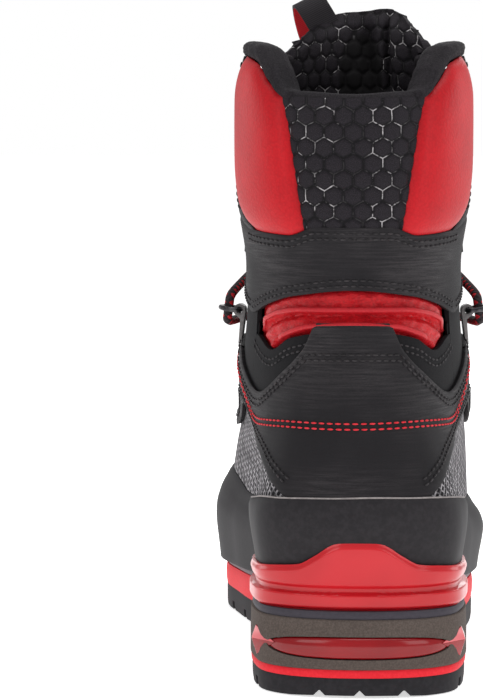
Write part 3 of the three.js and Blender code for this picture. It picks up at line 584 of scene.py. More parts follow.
def moulded(name, base, lit, rough=0.6, grain=900, relief=0.00005, **fixed):
    """Rubber, foam and plastic: a fine grain and a slow change of tone."""
    f = Finish(name)
    place = f.place()
    fine = f.noise(place, grain, 3, 0.6)
    slow = f.noise(place, 35, 3)
    specks = f.noise(place, 2600, 1).step(0.62, 0.8)
    colour = f.blend(fine.step(0.35, 0.7) * 0.45 + slow * 0.35 + specks * 0.3, base, lit)
    return f.finish(colour, rough + fine * 0.12 - 0.06, fine, relief, 0.8, **fixed)


def gloss_red(name, base, deep, rough):
    f = Finish(name)
    place = f.place()
    slow = f.noise(place, 28, 2)
    ripple = f.noise(place, 160, 2)
    pits = f.noise(place, 1500, 1).step(0.72, 0.8)
    colour = f.blend(slow.step(0.3, 0.75), base, deep)
    return f.finish(colour, rough + ripple * 0.08 + pits * 0.2, ripple * 0.5 - pits * 0.2,
                    0.00012, 0.5, Coat_Weight=0.4, Coat_Roughness=0.12)


def plate_nylon(name):
    """Dark at the heel and grey under the forefoot, as two moulded layers."""
    f = Finish(name)
    place = f.place()
    _, y, _ = f.parts(place)
    fine = f.noise(place, 700, 3)
    share = y.step(-0.075, -0.045)
    dark = f.blend(fine, tint(48, 45, 52), tint(66, 62, 70))
    grey = f.blend(fine, tint(92, 82, 86), tint(118, 106, 110))
    return f.finish(f.blend(share, dark, grey), 0.55 + fine * 0.1, fine, 0.00005)


def braid(name, first, second, pick, pattern=0.0052, strand=0.0013):
    """A round braid, dark with red flecks, with the lengths over which it repeats."""
    f = Finish(name)
    along, around, _ = f.parts(f.lay())
    turn = around * (2 * math.pi)
    a = (along * (2 * math.pi / pattern) + turn).sine()
    b = (along * (2 * math.pi / pattern) - turn).sine()
    strands = (along * (2 * math.pi / strand) + turn * 4).sine()
    cross = (along * (2 * math.pi / strand) - turn * 4).sine()
    fleck = (a * b).step(pick, pick + 0.25)
    fibre = f.noise(f.lay(), 2500, 2)
    colour = f.blend(fleck, f.blend(fibre, first, tuple(c * 1.7 for c in first)), second)
    return f.finish(colour, 0.8, strands * 0.5 + cross * 0.5 + fibre * 0.3, 0.00025, 0.9)


def sewing_thread(name, base, lit):
    f = Finish(name)
    fibre = f.noise(f.place(), 5200, 2)
    slow = f.noise(f.place(), 220, 2)
    return f.finish(f.blend(fibre * slow.step(0.2, 0.7), base, lit), 0.5 + fibre * 0.3,
                    fibre, 0.0001)


def dark_wire(name, base, lit):
    f = Finish(name)
    place = f.place()
    fine = f.noise(place, 1400, 3)
    worn = f.noise(place, 220, 2).step(0.45, 0.8)
    colour = f.blend(worn, base, lit)
    return f.finish(colour, 0.28 + fine * 0.25, fine, 0.00003, 0.5, Metallic=0.9)


def ribbon(name, base, lit):
    f = Finish(name)
    across, up, _ = f.parts(f.lay())
    rib = (up * (2 * math.pi * 1400)).sine()
    cross = (across * (2 * math.pi * 900)).sine()
    fibre = f.noise(f.lay(), 3000, 2)
    colour = f.blend(rib.step(-1, 1) * 0.5 + fibre * 0.4, base, lit)
    return f.finish(colour, 0.8 - fibre * 0.1, rib + cross * 0.4 + fibre * 0.3, 0.00018)


looks = {
    "microfibre": brushed_microfibre("brushed_microfibre", tint(23, 21, 24), tint(62, 58, 60)),
    "smooth_microfibre": brushed_microfibre("smooth_microfibre", tint(22, 20, 23), tint(46, 43, 45)),
    "leather": red_leather("red_pad_leather", tint(184, 16, 27), tint(150, 9, 19), False),
    "bellows": red_leather("red_bellows_leather", tint(190, 18, 28), tint(128, 10, 18), True),
    "piping": red_leather("red_piping_leather", tint(184, 34, 42), tint(150, 22, 30), False),
    "hex": hex_fabric("honeycomb_cloth", 3.5, 7.5),
    # The tongue lining's honeycomb, with a painted dark patch of shade low in its middle.
    "hex_inner": hex_fabric("honeycomb_lining", -2.0, 3.0, True),
    "mesh": woven_mesh("woven_quarter_mesh"),
    "gusset": knit_cloth("stretch_gusset_cloth", tint(9, 9, 11), tint(20, 18, 22), 1200, 0.00008),
    "lining": knit_cloth("soft_lining_knit", tint(16, 14, 17), tint(36, 33, 37)),
    "roll": knit_cloth("collar_roll_knit", tint(21, 19, 22), tint(50, 45, 50)),
    "rand": moulded("rand_rubber", tint(24, 22, 25), tint(44, 41, 44), 0.62, 420, 0.00006),
    "rubber": moulded("outsole_rubber", tint(22, 21, 24), tint(44, 42, 46), 0.68, 500, 0.00008),
    "foam": moulded("wedge_foam", tint(66, 58, 54), tint(100, 90, 84), 0.85, 1500, 0.00012),
    "red_foam": moulded("red_midsole_foam", tint(206, 20, 34), tint(226, 44, 56), 0.6, 900),
    "welt": gloss_red("red_heel_welt", tint(190, 24, 34), tint(170, 14, 24), 0.3),
    "gem": gloss_red("red_heel_insert", tint(146, 14, 22), tint(116, 8, 14), 0.12),
    # The pale pink gem face is a painted highlight, for the glint on one facet of each corner gem.
    "gem_painted_highlight": gloss_red("red_gem_painted_highlight", tint(226, 128, 132), tint(206, 84, 90), 0.12),
    "plate": plate_nylon("sole_plate"),
    "tab": moulded("grey_tab_nylon", tint(98, 95, 95), tint(128, 124, 124), 0.42, 700),
    "black_plastic": moulded("black_plastic", tint(28, 27, 29), tint(50, 48, 50), 0.4, 700),
    "board": moulded("hidden_board", tint(120, 112, 100), tint(150, 142, 128), 0.85, 600),
    "steel": dark_wire("dark_wire", tint(46, 45, 48), tint(108, 105, 106)),
    "lace": braid("lace_braid", tint(40, 34, 36), tint(196, 34, 44), 0.05),
    "black_thread": sewing_thread("black_thread", tint(24, 22, 24), tint(74, 70, 72)),
    "red_thread": sewing_thread("red_thread", tint(190, 28, 38), tint(232, 66, 76)),
    # A pale grey for the thin line along the rand's top edge.
    "edge": moulded("pale_rand_edge_line", tint(120, 114, 114), tint(160, 154, 152), 0.7, 500),
    "web_black": ribbon("black_webbing", tint(30, 28, 31), tint(64, 60, 64)),
    "web_red": ribbon("red_webbing", tint(190, 26, 36), tint(226, 52, 62)),
}


def deselect():
    for item in bpy.context.selected_objects:
        item.select_set(False)


def wake(piece):
    deselect()
    piece.select_set(True)
    bpy.context.view_layer.objects.active = piece


def modify(piece, kind, **settings):
    wake(piece)
    modifier = piece.modifiers.new(kind.lower(), kind)
    for name, value in settings.items():
        setattr(modifier, name, value)
    bpy.ops.object.modifier_apply(modifier=modifier.name)


def smooth(piece, angle=42):
    wake(piece)
    bpy.ops.object.shade_smooth_by_angle(angle=math.radians(angle))


def round_edges(piece, width, over, segments=2):
    """Rounds each edge whose faces meet at more than this many degrees."""
    modify(piece, "BEVEL", width=width * MM, segments=segments, limit_method="ANGLE",
           angle_limit=math.radians(over))


def solid(name, points, faces):
    """A new piece from points in millimetres and faces of point numbers."""
    data = bpy.data.meshes.new(name)
    data.from_pydata((points * MM).tolist(), [], faces)
    piece = bpy.data.objects.new(name, data)
    bpy.context.scene.collection.objects.link(piece)
    return piece


def settle(piece, look, slot, body, *nodes):
    """Gives a finished piece its material and its body, and hides the CAD nodes it stands for. Its
    slot is not used.
    """
    if look is not None:
        piece.data.materials.clear()
        piece.data.materials.append(looks[look])
    if body == "ankle":
        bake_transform(piece)
    else:
        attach(piece, body)
    if nodes:
        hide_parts(*nodes)
    return piece


def write_points(piece, points):
    piece.data.vertices.foreach_set("co", (points * MM).astype(np.float32).ravel())
    piece.data.update()


def write_map(piece, values):
    """A map of two numbers a vertex, already in metres."""
    data = piece.data
    for layer in list(data.uv_layers):
        data.uv_layers.remove(layer)
    layer = data.uv_layers.new(name="lay")
    corners = np.empty(len(data.loops), int)
    data.loops.foreach_get("vertex_index", corners)
    layer.data.foreach_set("uv", values[corners].astype(np.float32).ravel())


def sheet_of(name, columns, rows):
    """A flat grid, and each of its points' column and row."""
    deselect()
    bpy.ops.mesh.primitive_grid_add(x_subdivisions=columns, y_subdivisions=rows, size=1)
    piece = bpy.context.object
    piece.name = name
    piece.data.name = name
    flat = np.empty(len(piece.data.vertices) * 3)
    piece.data.vertices.foreach_get("co", flat)
    flat = flat.reshape(-1, 3)
    column = np.rint((flat[:, 0] + 0.5) * columns).astype(int)
    row = np.rint((flat[:, 1] + 0.5) * rows).astype(int)
    return piece, column, row


def value_at(setting, *where):
    return setting(*where) if callable(setting) else setting + 0 * where[0]


def panel(name, left, right, low, high, outer, inner, pitch=2.0, rounding=0.45, origin=0,
          shape=None, inward=False):
    """A piece of the upper between two side edges (angles by level), a lower and an upper
    edge (levels by angle), and two depths. shape adds relief to its face."""
    middle_level = 0.5 * (float(value_at(low, np.array(origin + 0.0))) +
                          float(value_at(high, np.array(origin + 0.0))))

    def solve(u, w):
        level = np.full(np.broadcast(u, w).shape, middle_level)
        for _ in range(6):
            angle = mix(value_at(left, level), value_at(right, level), u)
            level = mix(value_at(low, angle), value_at(high, angle), w)
        return angle, level

    trial = np.linspace(0, 1, 25)
    spread = surface(*solve(trial[:, None], trial[None, :]))
    wide = np.linalg.norm(np.diff(spread, axis=0), axis=-1).sum(0).max()
    tall = np.linalg.norm(np.diff(spread, axis=1), axis=-1).sum(1).max()
    columns, rows = max(int(wide / pitch), 4), max(int(tall / pitch), 3)
    fine = np.linspace(0, 1, 401)
    middle = surface(*solve(fine, np.full(401, 0.5)))
    arc = travelled(middle)
    u = np.interp(np.linspace(0, arc[-1], columns + 1), arc, fine)
    w = np.linspace(0, 1, rows + 1)
    angle, level = solve(u[:, None], w[None, :])
    depth = value_at(outer, level)
    if shape is not None:
        depth = depth + shape(angle, level, u[:, None] + 0 * level, w[None, :] + 0 * level)
    if inward:
        angle, level, depth = angle[::-1], level[::-1], depth[::-1]
    points = skin(angle, level, depth)
    across = girth(angle, level) - girth(np.full_like(level, origin), level)
    piece, column, row = sheet_of(name, columns, rows)
    write_points(piece, points[column, row])
    write_map(piece, np.stack([across, level], -1)[column, row] * MM)
    span = abs(float(np.mean(value_at(right, level) - value_at(left, level))))
    if span > 359:
        merge(piece)
    thick = abs(float(np.max(value_at(outer, level))) - inner)
    modify(piece, "SOLIDIFY", thickness=thick * MM, offset=-1, use_even_offset=False)
    if rounding:
        round_edges(piece, rounding, 50)
    smooth(piece)
    return piece


def merge(piece, distance=0.02):
    shell = bmesh.new()
    shell.from_mesh(piece.data)
    bmesh.ops.remove_doubles(shell, verts=shell.verts, dist=distance * MM)
    shell.to_mesh(piece.data)
    shell.free()


def loft(name, rings, angle=60):
    """A closed skin over rings of points, with a pole at each end."""
    count, sides, _ = rings.shape
    poles = np.stack([rings[0].mean(0), rings[-1].mean(0)])
    points = np.vstack([rings.reshape(-1, 3), poles])
    along = travelled(rings.mean(1)) * MM
    around = np.arange(sides) / sides
    faces = []
    for i in range(count - 1):
        for j in range(sides):
            k = (j + 1) % sides
            faces.append((i * sides + j, i * sides + k, (i + 1) * sides + k, (i + 1) * sides + j))
    start, end = count * sides, count * sides + 1
    last = (count - 1) * sides
    for j in range(sides):
        k = (j + 1) % sides
        faces.append((start, k, j))
        faces.append((end, last + j, last + k))
    piece = solid(name, points, faces)
    values = np.vstack([
        np.stack(np.meshgrid(along, around, indexing="ij"), -1).reshape(-1, 2),
        [[along[0], 0], [along[-1], 0]]])
    write_map(piece, values)
    face_out(piece)
    smooth(piece, angle)
    return piece


def face_out(piece):
    shell = bmesh.new()
    shell.from_mesh(piece.data)
    bmesh.ops.recalc_face_normals(shell, faces=shell.faces)
    shell.to_mesh(piece.data)
    shell.free()


def smooth_line(points, each=6):
    """Points along a smooth line through the given ones."""
    points = np.asarray(points, float)
    padded = np.vstack([2 * points[0] - points[1], points, 2 * points[-1] - points[-2]])
    found = []
    for i in range(1, len(padded) - 2):
        p0, p1, p2, p3 = padded[i - 1:i + 3]
        d0, d1, d2 = [max(np.linalg.norm(b - a), 1e-6) ** 0.5
                      for a, b in ((p0, p1), (p1, p2), (p2, p3))]
        t1 = ((p1 - p0) / d0 - (p2 - p0) / (d0 + d1) + (p2 - p1) / d1) * d1
        t2 = ((p2 - p1) / d1 - (p3 - p1) / (d1 + d2) + (p3 - p2) / d2) * d1
        s = np.linspace(0, 1, each, endpoint=False)[:, None]
        found.append(p1 * (1 + 2 * s) * (1 - s) ** 2 + p2 * s * s * (3 - 2 * s)
                     + t1 * s * (1 - s) ** 2 - t2 * s * s * (1 - s))
    return np.vstack([*found, points[-1:]])


def sweep(name, line, radius, sides=12):
    """A round cord along a line, with softly closed ends."""
    line = np.asarray(line, float)
    ahead = unit(np.gradient(line, axis=0))
    side = np.cross(ahead[0], [0.3, 0.5, 0.8])
    side /= np.linalg.norm(side)
    turn = np.arange(sides) / sides * 2 * math.pi
    rings = []
    sizes = np.broadcast_to(np.asarray(radius, float), (len(line),))
    for point, way, size in zip(line, ahead, sizes):
        side = side - way * (side @ way)
        side /= np.linalg.norm(side)
        up = np.cross(way, side)
        rings.append(point + size * (np.cos(turn)[:, None] * side + np.sin(turn)[:, None] * up))
    rings = np.array(rings)
    first, last = line[0], line[-1]
    bulge = sizes[0] * 0.35
    start = first + (rings[0] - first) * 0.7 - ahead[0] * bulge
    end = last + (rings[-1] - last) * 0.7 + ahead[-1] * bulge
    return loft(name, np.array([start, *rings, end]))


def seat(side, angle, level, depth):
    """A fitting's own axes: x away from the throat, y up the boot, z out of it."""
    around, up, out = axes_at(np.array(side * angle), np.array(level))
    place = skin(np.array(side * angle), np.array(level), np.array(float(depth)))
    axes = np.stack([around * -side, up, out])

    def at(*point):
        return place + np.asarray(point, float) @ axes

    return at


# ---- stitching ---------------------------------------------------------------------------
def one_stitch():
    """A short rounded stitch along X, as points and faces. The faces are sorted, because they
    come in another order each run."""
    deselect()
    bpy.ops.mesh.primitive_uv_sphere_add(segments=6, ring_count=5, radius=1)
    ball = bpy.context.object
    shape = np.array([vertex.co for vertex in ball.data.vertices])
    faces = sorted(tuple(face.vertices) for face in ball.data.polygons)
    bpy.data.objects.remove(ball)
    return shape[:, [2, 0, 1]], faces


STITCH_SHAPE, STITCH_FACES = one_stitch()


def stitches(name, rows, look, slot, body, length=2.1, pitch=2.9, thick=0.42):
    """Runs of stitches. A run is a list of angles, levels and depths on the upper."""
    points, faces = [], []
    for angle, level, depth in rows:
        line = skin(angle, level, depth)
        outs = axes_at(angle, level)[2]
        total = travelled(line)
        for middle in np.arange(pitch / 2, total[-1] - pitch / 2, pitch):
            ends = [np.array([np.interp(at, total, line[:, k]) for k in range(3)])
                    for at in (middle - length / 2, middle + length / 2)]
            out = np.array([np.interp(middle, total, outs[:, k]) for k in range(3)])
            way = (ends[1] - ends[0]) / np.linalg.norm(ends[1] - ends[0])
            across = np.cross(out, way)
            size = STITCH_SHAPE * [length / 2, thick, thick * 0.8]
            placed = (ends[0] + ends[1]) / 2 + size @ np.stack([way, across, out])
            offset = len(points) * len(STITCH_SHAPE)
            points.append(placed)
            faces.extend(tuple(offset + corner for corner in face) for face in STITCH_FACES)
    piece = solid(name, np.vstack(points), faces)
    smooth(piece, 80)
    return settle(piece, look, slot, body)


def run(start, end, level, depth, count=160):
    """A run of sewing from angle to angle at a level."""
    angle = np.linspace(start, end, count)
    return angle, value_at(level, angle), np.full(count, float(depth))


def climb(angle, low, high, depth):
    """A run of sewing up the boot, at an angle for each level."""
    level = np.linspace(low, high, 80)
    return value_at(angle, level), level, np.full(len(level), float(depth))


SIDES = {"lateral": 1, "medial": -1}


# ---- cords first: the bow's loops and the lace's two ends --------------------------------
LACE = 3.6
KNOT_LEVEL, KNOT_DEPTH = 216, 8
BOW_ROUTE = [
    (2.3, 218.6, 9.8), (7, 219.8, 11), (14, 217, 12), (20, 211.5, 12.6), (24.5, 205, 13),
    (27, 197, 13.2), (26.5, 189, 13.2), (23, 182.5, 13.2), (17, 179.8, 13.2),
    (11.5, 182.5, 13.2), (8.5, 188.5, 13), (7, 196, 12.7), (5.8, 203, 12.4),
    (4.4, 208.4, 11.8), (2.5, 212, 11),
]
TAIL_ROUTE = [
    (0.5, 210.8, 9.6), (0.6, 207.4, 11.6), (0.8, 202, 13), (1, 195, 13.4), (1.4, 187, 13.4),
    (1.9, 179, 13.4), (2.4, 171, 13.3), (3, 163, 13.2), (3.6, 156, 13.2),
]


def laid(route, side):
    angle, level, depth = np.array(route, float).T
    return skin(180 - side * angle, level, depth)


def make_free_laces():
    for name, side in SIDES.items():
        line = smooth_line(laid(BOW_ROUTE, side), 5)
        bow = sweep(f"bow_loop_{name}", line, LACE / 2)
        settle(bow, "lace", "lace_cord", "cuff", f"lace_bow_{name}")
        route = laid(TAIL_ROUTE, side)
        line = smooth_line(route, 5)
        tail = sweep(f"lace_end_{name}", line, LACE / 2)
        settle(tail, "lace", "lace_cord", "cuff", f"lace_tail_{name}")
        way = unit(route[-1] - route[-2])
        reach = np.array([0.2, 1.2, 5, 9, 13, 14])[:, None]
        sizes = np.array([1.62, 1.5, 1.45, 1.45, 1.4, 1.1])
        tip = sweep(f"lace_end_tip_{name}", route[-1] + reach * way, sizes)
        settle(tip, "black_plastic", "plate_nylon", "cuff", f"lace_tip_{name}")


make_free_laces()


# ---- sole --------------------------------------------------------------------------------
def ring_block(name, rows, end=180.0, step=3.0, bevel=0.4):
    """A block on the sole's plan, from the heel to an angle. Each row is an inset and a height
    for each y, from the bottom up. Its lid and its floor are strips from side to side."""
    half = np.arange(0, end + step / 2, step)
    points, count = [], len(half)
    for inset, height in rows:
        for sign in (1, -1):
            edge = sole_edge(sign * half, inset)
            level = value_at(height, edge[:, 1])
            points.append(np.column_stack([edge, level]) + SHIFT)
    points = np.array(points).reshape(len(rows), 2, count, 3)
    spot = np.arange(points[..., 0].size).reshape(len(rows), 2, count)
    faces = []
    for j in range(len(rows) - 1):
        for i in range(count - 1):
            faces.append((spot[j, 0, i], spot[j, 0, i + 1], spot[j + 1, 0, i + 1], spot[j + 1, 0, i]))
            faces.append((spot[j, 1, i + 1], spot[j, 1, i], spot[j + 1, 1, i], spot[j + 1, 1, i + 1]))
        if end < 180:
            faces.append((spot[j, 1, -1], spot[j, 0, -1], spot[j + 1, 0, -1], spot[j + 1, 1, -1]))
    for i in range(count - 1):
        for j in (0, len(rows) - 1):
            faces.append((spot[j, 0, i], spot[j, 0, i + 1], spot[j, 1, i + 1], spot[j, 1, i]))
    piece = solid(name, points.reshape(-1, 3), [tuple(map(int, face)) for face in faces])
    merge(piece, 0.005)
    face_out(piece)
    if bevel:
        round_edges(piece, bevel, 55)
    smooth(piece, 35)
    return piece


def box_at(size, place, turn=(0, 0, 0)):
    deselect()
    bpy.ops.mesh.primitive_cube_add(size=1, location=np.array(place) * MM, rotation=turn)
    block = bpy.context.object
    block.scale = np.array(size) * MM
    bpy.ops.object.transform_apply(location=True, rotation=True, scale=True)
    return block


def join_all(pieces, name):
    deselect()
    for piece in pieces:
        piece.select_set(True)
    bpy.context.view_layer.objects.active = pieces[0]
    bpy.ops.object.join()
    pieces[0].name = name
    pieces[0].data.name = name
    return pieces[0]


def carve(piece, cutters):
    for cutter in cutters:
        modify(piece, "BOOLEAN", operation="DIFFERENCE", object=cutter, solver="EXACT")
        bpy.data.objects.remove(cutter)


def make_outsole():
    outsole = ring_block("lugged_outsole", [
        (1.2, tread), (0.9, lambda y: tread(y) + 2.2), (0.8, lambda y: rubber_top(y) - 1),
        (1.1, rubber_top)], bevel=0)
    bars = []
    for y in (-128, -108, -88, -4, 16, 36, 56, 76, 96, 116):
        for side in (1, -1):
            height = tread(y) + TREAD_DEPTH / 2 - 0.6
            bars.append(box_at((60, 3.6, TREAD_DEPTH), np.array([side * 42, y, height]) + SHIFT,
                               (0, 0, side * math.radians(16))))
    middle = [box_at((3.2, 132, TREAD_DEPTH), np.array([x, 52, 1.5]) + SHIFT) for x in (-20, 7)]
    notches = [box_at((3.4, 16, 3.4), np.array([x, -SOLE_LENGTH / 2 + 6, 0.2]) + SHIFT,
                      (0, math.radians(45), 0)) for x in (-14, 0.5, 16.5)]
    heel = [box_at((30, 3, 3.4), np.array([0, y, 0.6]) + SHIFT) for y in (-118, -98)]
    carve(outsole, [join_all(group, f"cutter_{i}")
                    for i, group in enumerate((bars[::2], bars[1::2], middle, notches, heel))])
    smooth(outsole, 30)
    settle(outsole, "rubber", "outsole_rubber", "foot", "outsole")


def plate_low(y):
    return plate_top(y) - PLATE_THICKNESS


def make_midsole():
    def stripe(y):
        under = plate_low(y) - SEAT_GAP
        return np.where(y < WEDGE_END, np.minimum(stripe_top(y), under), under)

    base = lambda y: rubber_top(y) + 0.05
    midsole = ring_block("red_midsole", [
        (0.9, base), (0.5, lambda y: mix(base(y), stripe(y), 0.3)),
        (0.4, lambda y: mix(base(y), stripe(y), 0.7)), (0.8, stripe)], bevel=0.3)
    settle(midsole, "red_foam", "red_midsole_foam", "foot", "midsole")
    plate = ring_block("sole_plate", [
        (1.3, lambda y: plate_low(y) - 0.2), (0.9, lambda y: plate_low(y) + 0.5),
        (0.9, lambda y: plate_top(y) - 0.5), (1.3, lambda y: plate_top(y) + 0.4)], bevel=0)
    settle(plate, "plate", "plate_nylon", "foot", "shank_plate")


INSERT_LOW, INSERT_HIGH, INSERT_HALF_WIDTH = 14, 21.7, 32.4
GEM_CORNERS = [(29.6, 18.6), (36.4, 22.9), (38.8, 22.2), (38.6, 12.6), (36.0, 12.4)]
GEM_PEAK, GEM_RIM_OUT, GEM_PEAK_OUT, GEM_BACK_IN = (36.0, 18.6), 0.25, 2.2, 1.5
WELT_DEPTH = 6


def lens(name, grow, back, crown, flange=0.0):
    """The long oval let into the back of the wedge, or the cutter for its seat."""
    columns, rows = 56, 16
    u, w = np.linspace(-1, 1, columns + 1), np.linspace(-1, 1, rows + 1)
    reach = sole_angle_at(INSERT_HALF_WIDTH + grow, 1)
    angle = reach * u[:, None] + 0 * w[None, :]
    tall = (INSERT_HIGH - INSERT_LOW) / 2 + grow
    rise = tall * np.clip(1 - np.abs(u[:, None]) ** 2.6, 0.0004, 1) ** 0.5 * w[None, :]
    swell = np.clip(1 - w[None, :] ** 2, 0, 1) ** 0.5 * np.clip(1 - u[:, None] ** 4, 0, 1)
    edge = sole_edge(angle, -(flange + crown * swell))
    height = (INSERT_LOW + INSERT_HIGH) / 2 + rise
    points = np.dstack([edge, height]) + SHIFT
    piece, column, row = sheet_of(name, columns, rows)
    write_points(piece, points[column, row])
    modify(piece, "SOLIDIFY", thickness=back * MM, offset=-1)
    return piece


def sole_angle_at(x, side):
    """The angle of the point on the heel's edge that stands this far to the side."""
    angles = np.linspace(5, 75, 281)
    return side * float(np.interp(x, sole_line(angles)[:, 0], angles))


def make_wedge():
    wedge = ring_block("heel_wedge_block", [
        (0.6, lambda y: stripe_top(y) + 0.05), (0.1, lambda y: stripe_top(y) + 0.8),
        (0.15, lambda y: mix(stripe_top(y), plate_low(y), 0.55)),
        (0.4, lambda y: plate_low(y) - 0.4), (0.9, lambda y: plate_low(y) - 0.02)],
        end=84, step=2.0, bevel=0)
    seat_cut = lens("lens_cutter", 0.35, 4, 0, 1.2)
    carve(wedge, [seat_cut])
    smooth(wedge, 30)
    settle(wedge, "foam", "heel_wedge_foam", "foot", "heel_wedge")
    back = ring_block("lens_back", [(2.4, 12.5), (2.4, 23)], end=40, step=2.0, bevel=0)
    settle(back, "gem", "red_gloss_insert", "foot")
    insert = lens("heel_lens", 0, 2.2, 1.5, -0.9)
    smooth(insert, 60)
    settle(insert, "gem", "red_gloss_insert", "foot", "heel_insert")
    for name, side in SIDES.items():
        make_corner_gem(name, side)


def make_corner_gem(name, side):
    """A gem of five facets at a corner of the wedge, with its first facet given a pale pink material
    as a painted highlight.
    """
    def on_wedge(x, height, inset):
        angle = np.array(sole_angle_at(x, side))
        return np.append(sole_edge(angle, inset), height) + SHIFT

    points = np.array([*[on_wedge(*corner, -GEM_RIM_OUT) for corner in GEM_CORNERS],
                       *[on_wedge(*corner, GEM_BACK_IN) for corner in GEM_CORNERS],
                       on_wedge(*GEM_PEAK, -GEM_PEAK_OUT)])
    count = len(GEM_CORNERS)
    faces = [(i, (i + 1) % count, 2 * count) for i in range(count)]
    faces += [(i, i + count, (i + 1) % count + count, (i + 1) % count) for i in range(count)]
    faces.append(tuple(range(2 * count - 1, count - 1, -1)))
    gem = solid(f"corner_gem_{name}", points, faces)
    gem.data.materials.append(looks["gem"])
    gem.data.materials.append(looks["gem_painted_highlight"])
    # The first facet takes the pale pink material: a painted highlight.
    gem.data.polygons[0].material_index = 1
    face_out(gem)
    round_edges(gem, 0.25, 12)
    smooth(gem, 25)
    settle(gem, None, "red_gloss_insert", "foot")


def make_welt():
    profile = through(
        (FEATHER, 2.6), (31.9, 3.6), (33, 4.0), (36.4, 4.0), (36.9, 3.7), (37.3, 1.9),
        (38.9, 1.9), (39.6, 2.5), (41.2, 3.3), (44, 4.0), (48, 4.6), (52, 4.9), (56.3, 4.8))

    def relief(angle, level, u, w):
        rim = welt_top(angle) - level
        lip = np.where(level > 39.5, -1.1 * (1 - ease(rim, 0, 2.4)), 0)
        end = 1 - ease(np.abs(angle), 58, 70)
        return profile(level) - WELT_DEPTH + lip - (1 - end) * np.where(level > 39, 1.2, 0.2)

    welt = panel("heel_welt_moulding", -WELT_END, WELT_END, FEATHER - 0.4, welt_top, WELT_DEPTH,
                 1.0, pitch=0.55, rounding=0.2, shape=relief)
    settle(welt, "welt", "red_gloss_insert", "foot", "heel_welt")


make_outsole()
make_midsole()
make_wedge()
make_welt()


# ---- upper of the foot -------------------------------------------------------------------
def turned_edge(fall=0.7, width=1.6):
    """A panel's face falls away a little at all four edges."""
    def relief(angle, level, u, w):
        near = np.minimum(np.minimum(u, 1 - u) * 120, np.minimum(w, 1 - w) * 30)
        return -fall * (1 - ease(near, 0, width))
    return relief


def rand_low(angle):
    away = np.abs(from_heel(angle))
    welted = welt_top(angle) - 1.0
    return np.where(away <= WELT_END, welted,
                    mix(welted, FEATHER - 0.8, ease(away, WELT_END, WELT_END + 3)))


def make_foot():
    lining = panel("foot_lining", -180, 180, FEATHER + 2.6, mirrored(through(
        (0, 118), (134, 118), (152, 97.8), (180, 97))), -2.6, -6.2, pitch=3.5)
    settle(lining, "lining", "soft_lining", "foot", "liner_foot")
    mesh = panel("quarter_mesh_cloth", -122, 122, FEATHER, QUARTER_LEVEL + 2, 1.7, 0, pitch=2.5,
                 shape=lambda a, v, u, w: -1.5 * (1 - ease(v, 50, 57)))
    settle(mesh, "mesh", "mesh_fabric", "foot", "quarter_mesh")
    vamp = panel("vamp_panel", 121.5, 238.5, FEATHER, vamp_top, 1.9, 0, pitch=2.2, origin=180)
    settle(vamp, "smooth_microfibre", "black_microfibre", "foot", "vamp")

    def rand_relief(angle, level, u, w):
        turned = from_heel(angle)
        bulge = (3.6 * hump(turned, 106, 24) + 2.4 * hump(turned, -110, 24)) * hump(level, 50, 15)
        tapered = (3.3 * (1 - ease(level, 42, 66))
                   * (1 - ease(np.abs(turned), WELT_END - 24, WELT_END - 4)))
        bulge = bulge * ease(rand_top(angle) - level, 0, 14)
        lean_in = 2.2 * (1 - ease(rand_top(angle) - level, 0, 8)) * ease(np.abs(turned), 40, 80)
        return bulge - tapered - lean_in - 0.8 * (1 - ease(rand_top(angle) - level, 0, 2.0))

    rand = panel("rubber_rand", -180, 180, rand_low, rand_top, 5.1, 2.4, pitch=2.0,
                 shape=rand_relief, rounding=0.3)
    settle(rand, "rand", "outsole_rubber", "foot", "rand")
    # A thin pale grey cord, a little wavy, laid along the rand's top edge.
    angle = np.linspace(-84, 84, 260)
    wave = 0.25 * np.sin(np.radians(angle) * 9) + 0.12 * np.sin(np.radians(angle) * 23)
    bead = sweep("rand_pale_edge_line", skin(angle, rand_top(angle) + 0.1 + wave * 0.5, np.full(260, 4.2)),
                 0.34, 6)
    settle(bead, "edge", "outsole_rubber", "foot")
    heel = panel("heel_panel_leather", -84.4, 84.4, heel_panel_low, heel_panel_top, 4.1, 2.3,
                 pitch=1.8, shape=turned_edge(0.5, 1.2))
    settle(heel, "microfibre", "black_microfibre", "foot", "heel_panel")
    for name, side in SIDES.items():
        ends = (83.8, 158) if side > 0 else (-158, -83.8)
        overlay = panel(f"quarter_panel_{name}", *ends, overlay_low, overlay_top, 4.1, 2.3,
                        pitch=2.2, origin=side * 110, shape=turned_edge(0.4, 1.2))
        settle(overlay, "smooth_microfibre", "black_microfibre", "foot",
               f"quarter_overlay_{name}")


piping_upper = mirrored(through((0, 138.9), (24, 138.6), (38, 137.0), (50, 133.6), (61, 128.4)))
piping_lower = mirrored(through((0, 133.4), (20, 132.6), (30, 130.6), (40, 127.4), (48, 123.4)))


def wrinkles(angle, level, size):
    a, b = girth(angle, level), level
    wave = (np.sin(a * 0.55 + 1.7 * np.sin(b * 0.9 + 0.3)) * np.sin(b * 1.5 + 0.8 * np.sin(a * 0.31))
            + 0.6 * np.sin(a * 1.1 - b * 0.7 + 1.3 * np.sin(a * 0.23 + 2))
            + 0.4 * np.sin(a * 0.8 + b * 1.9 + 2 * np.sin(b * 0.4)))
    return wave * size


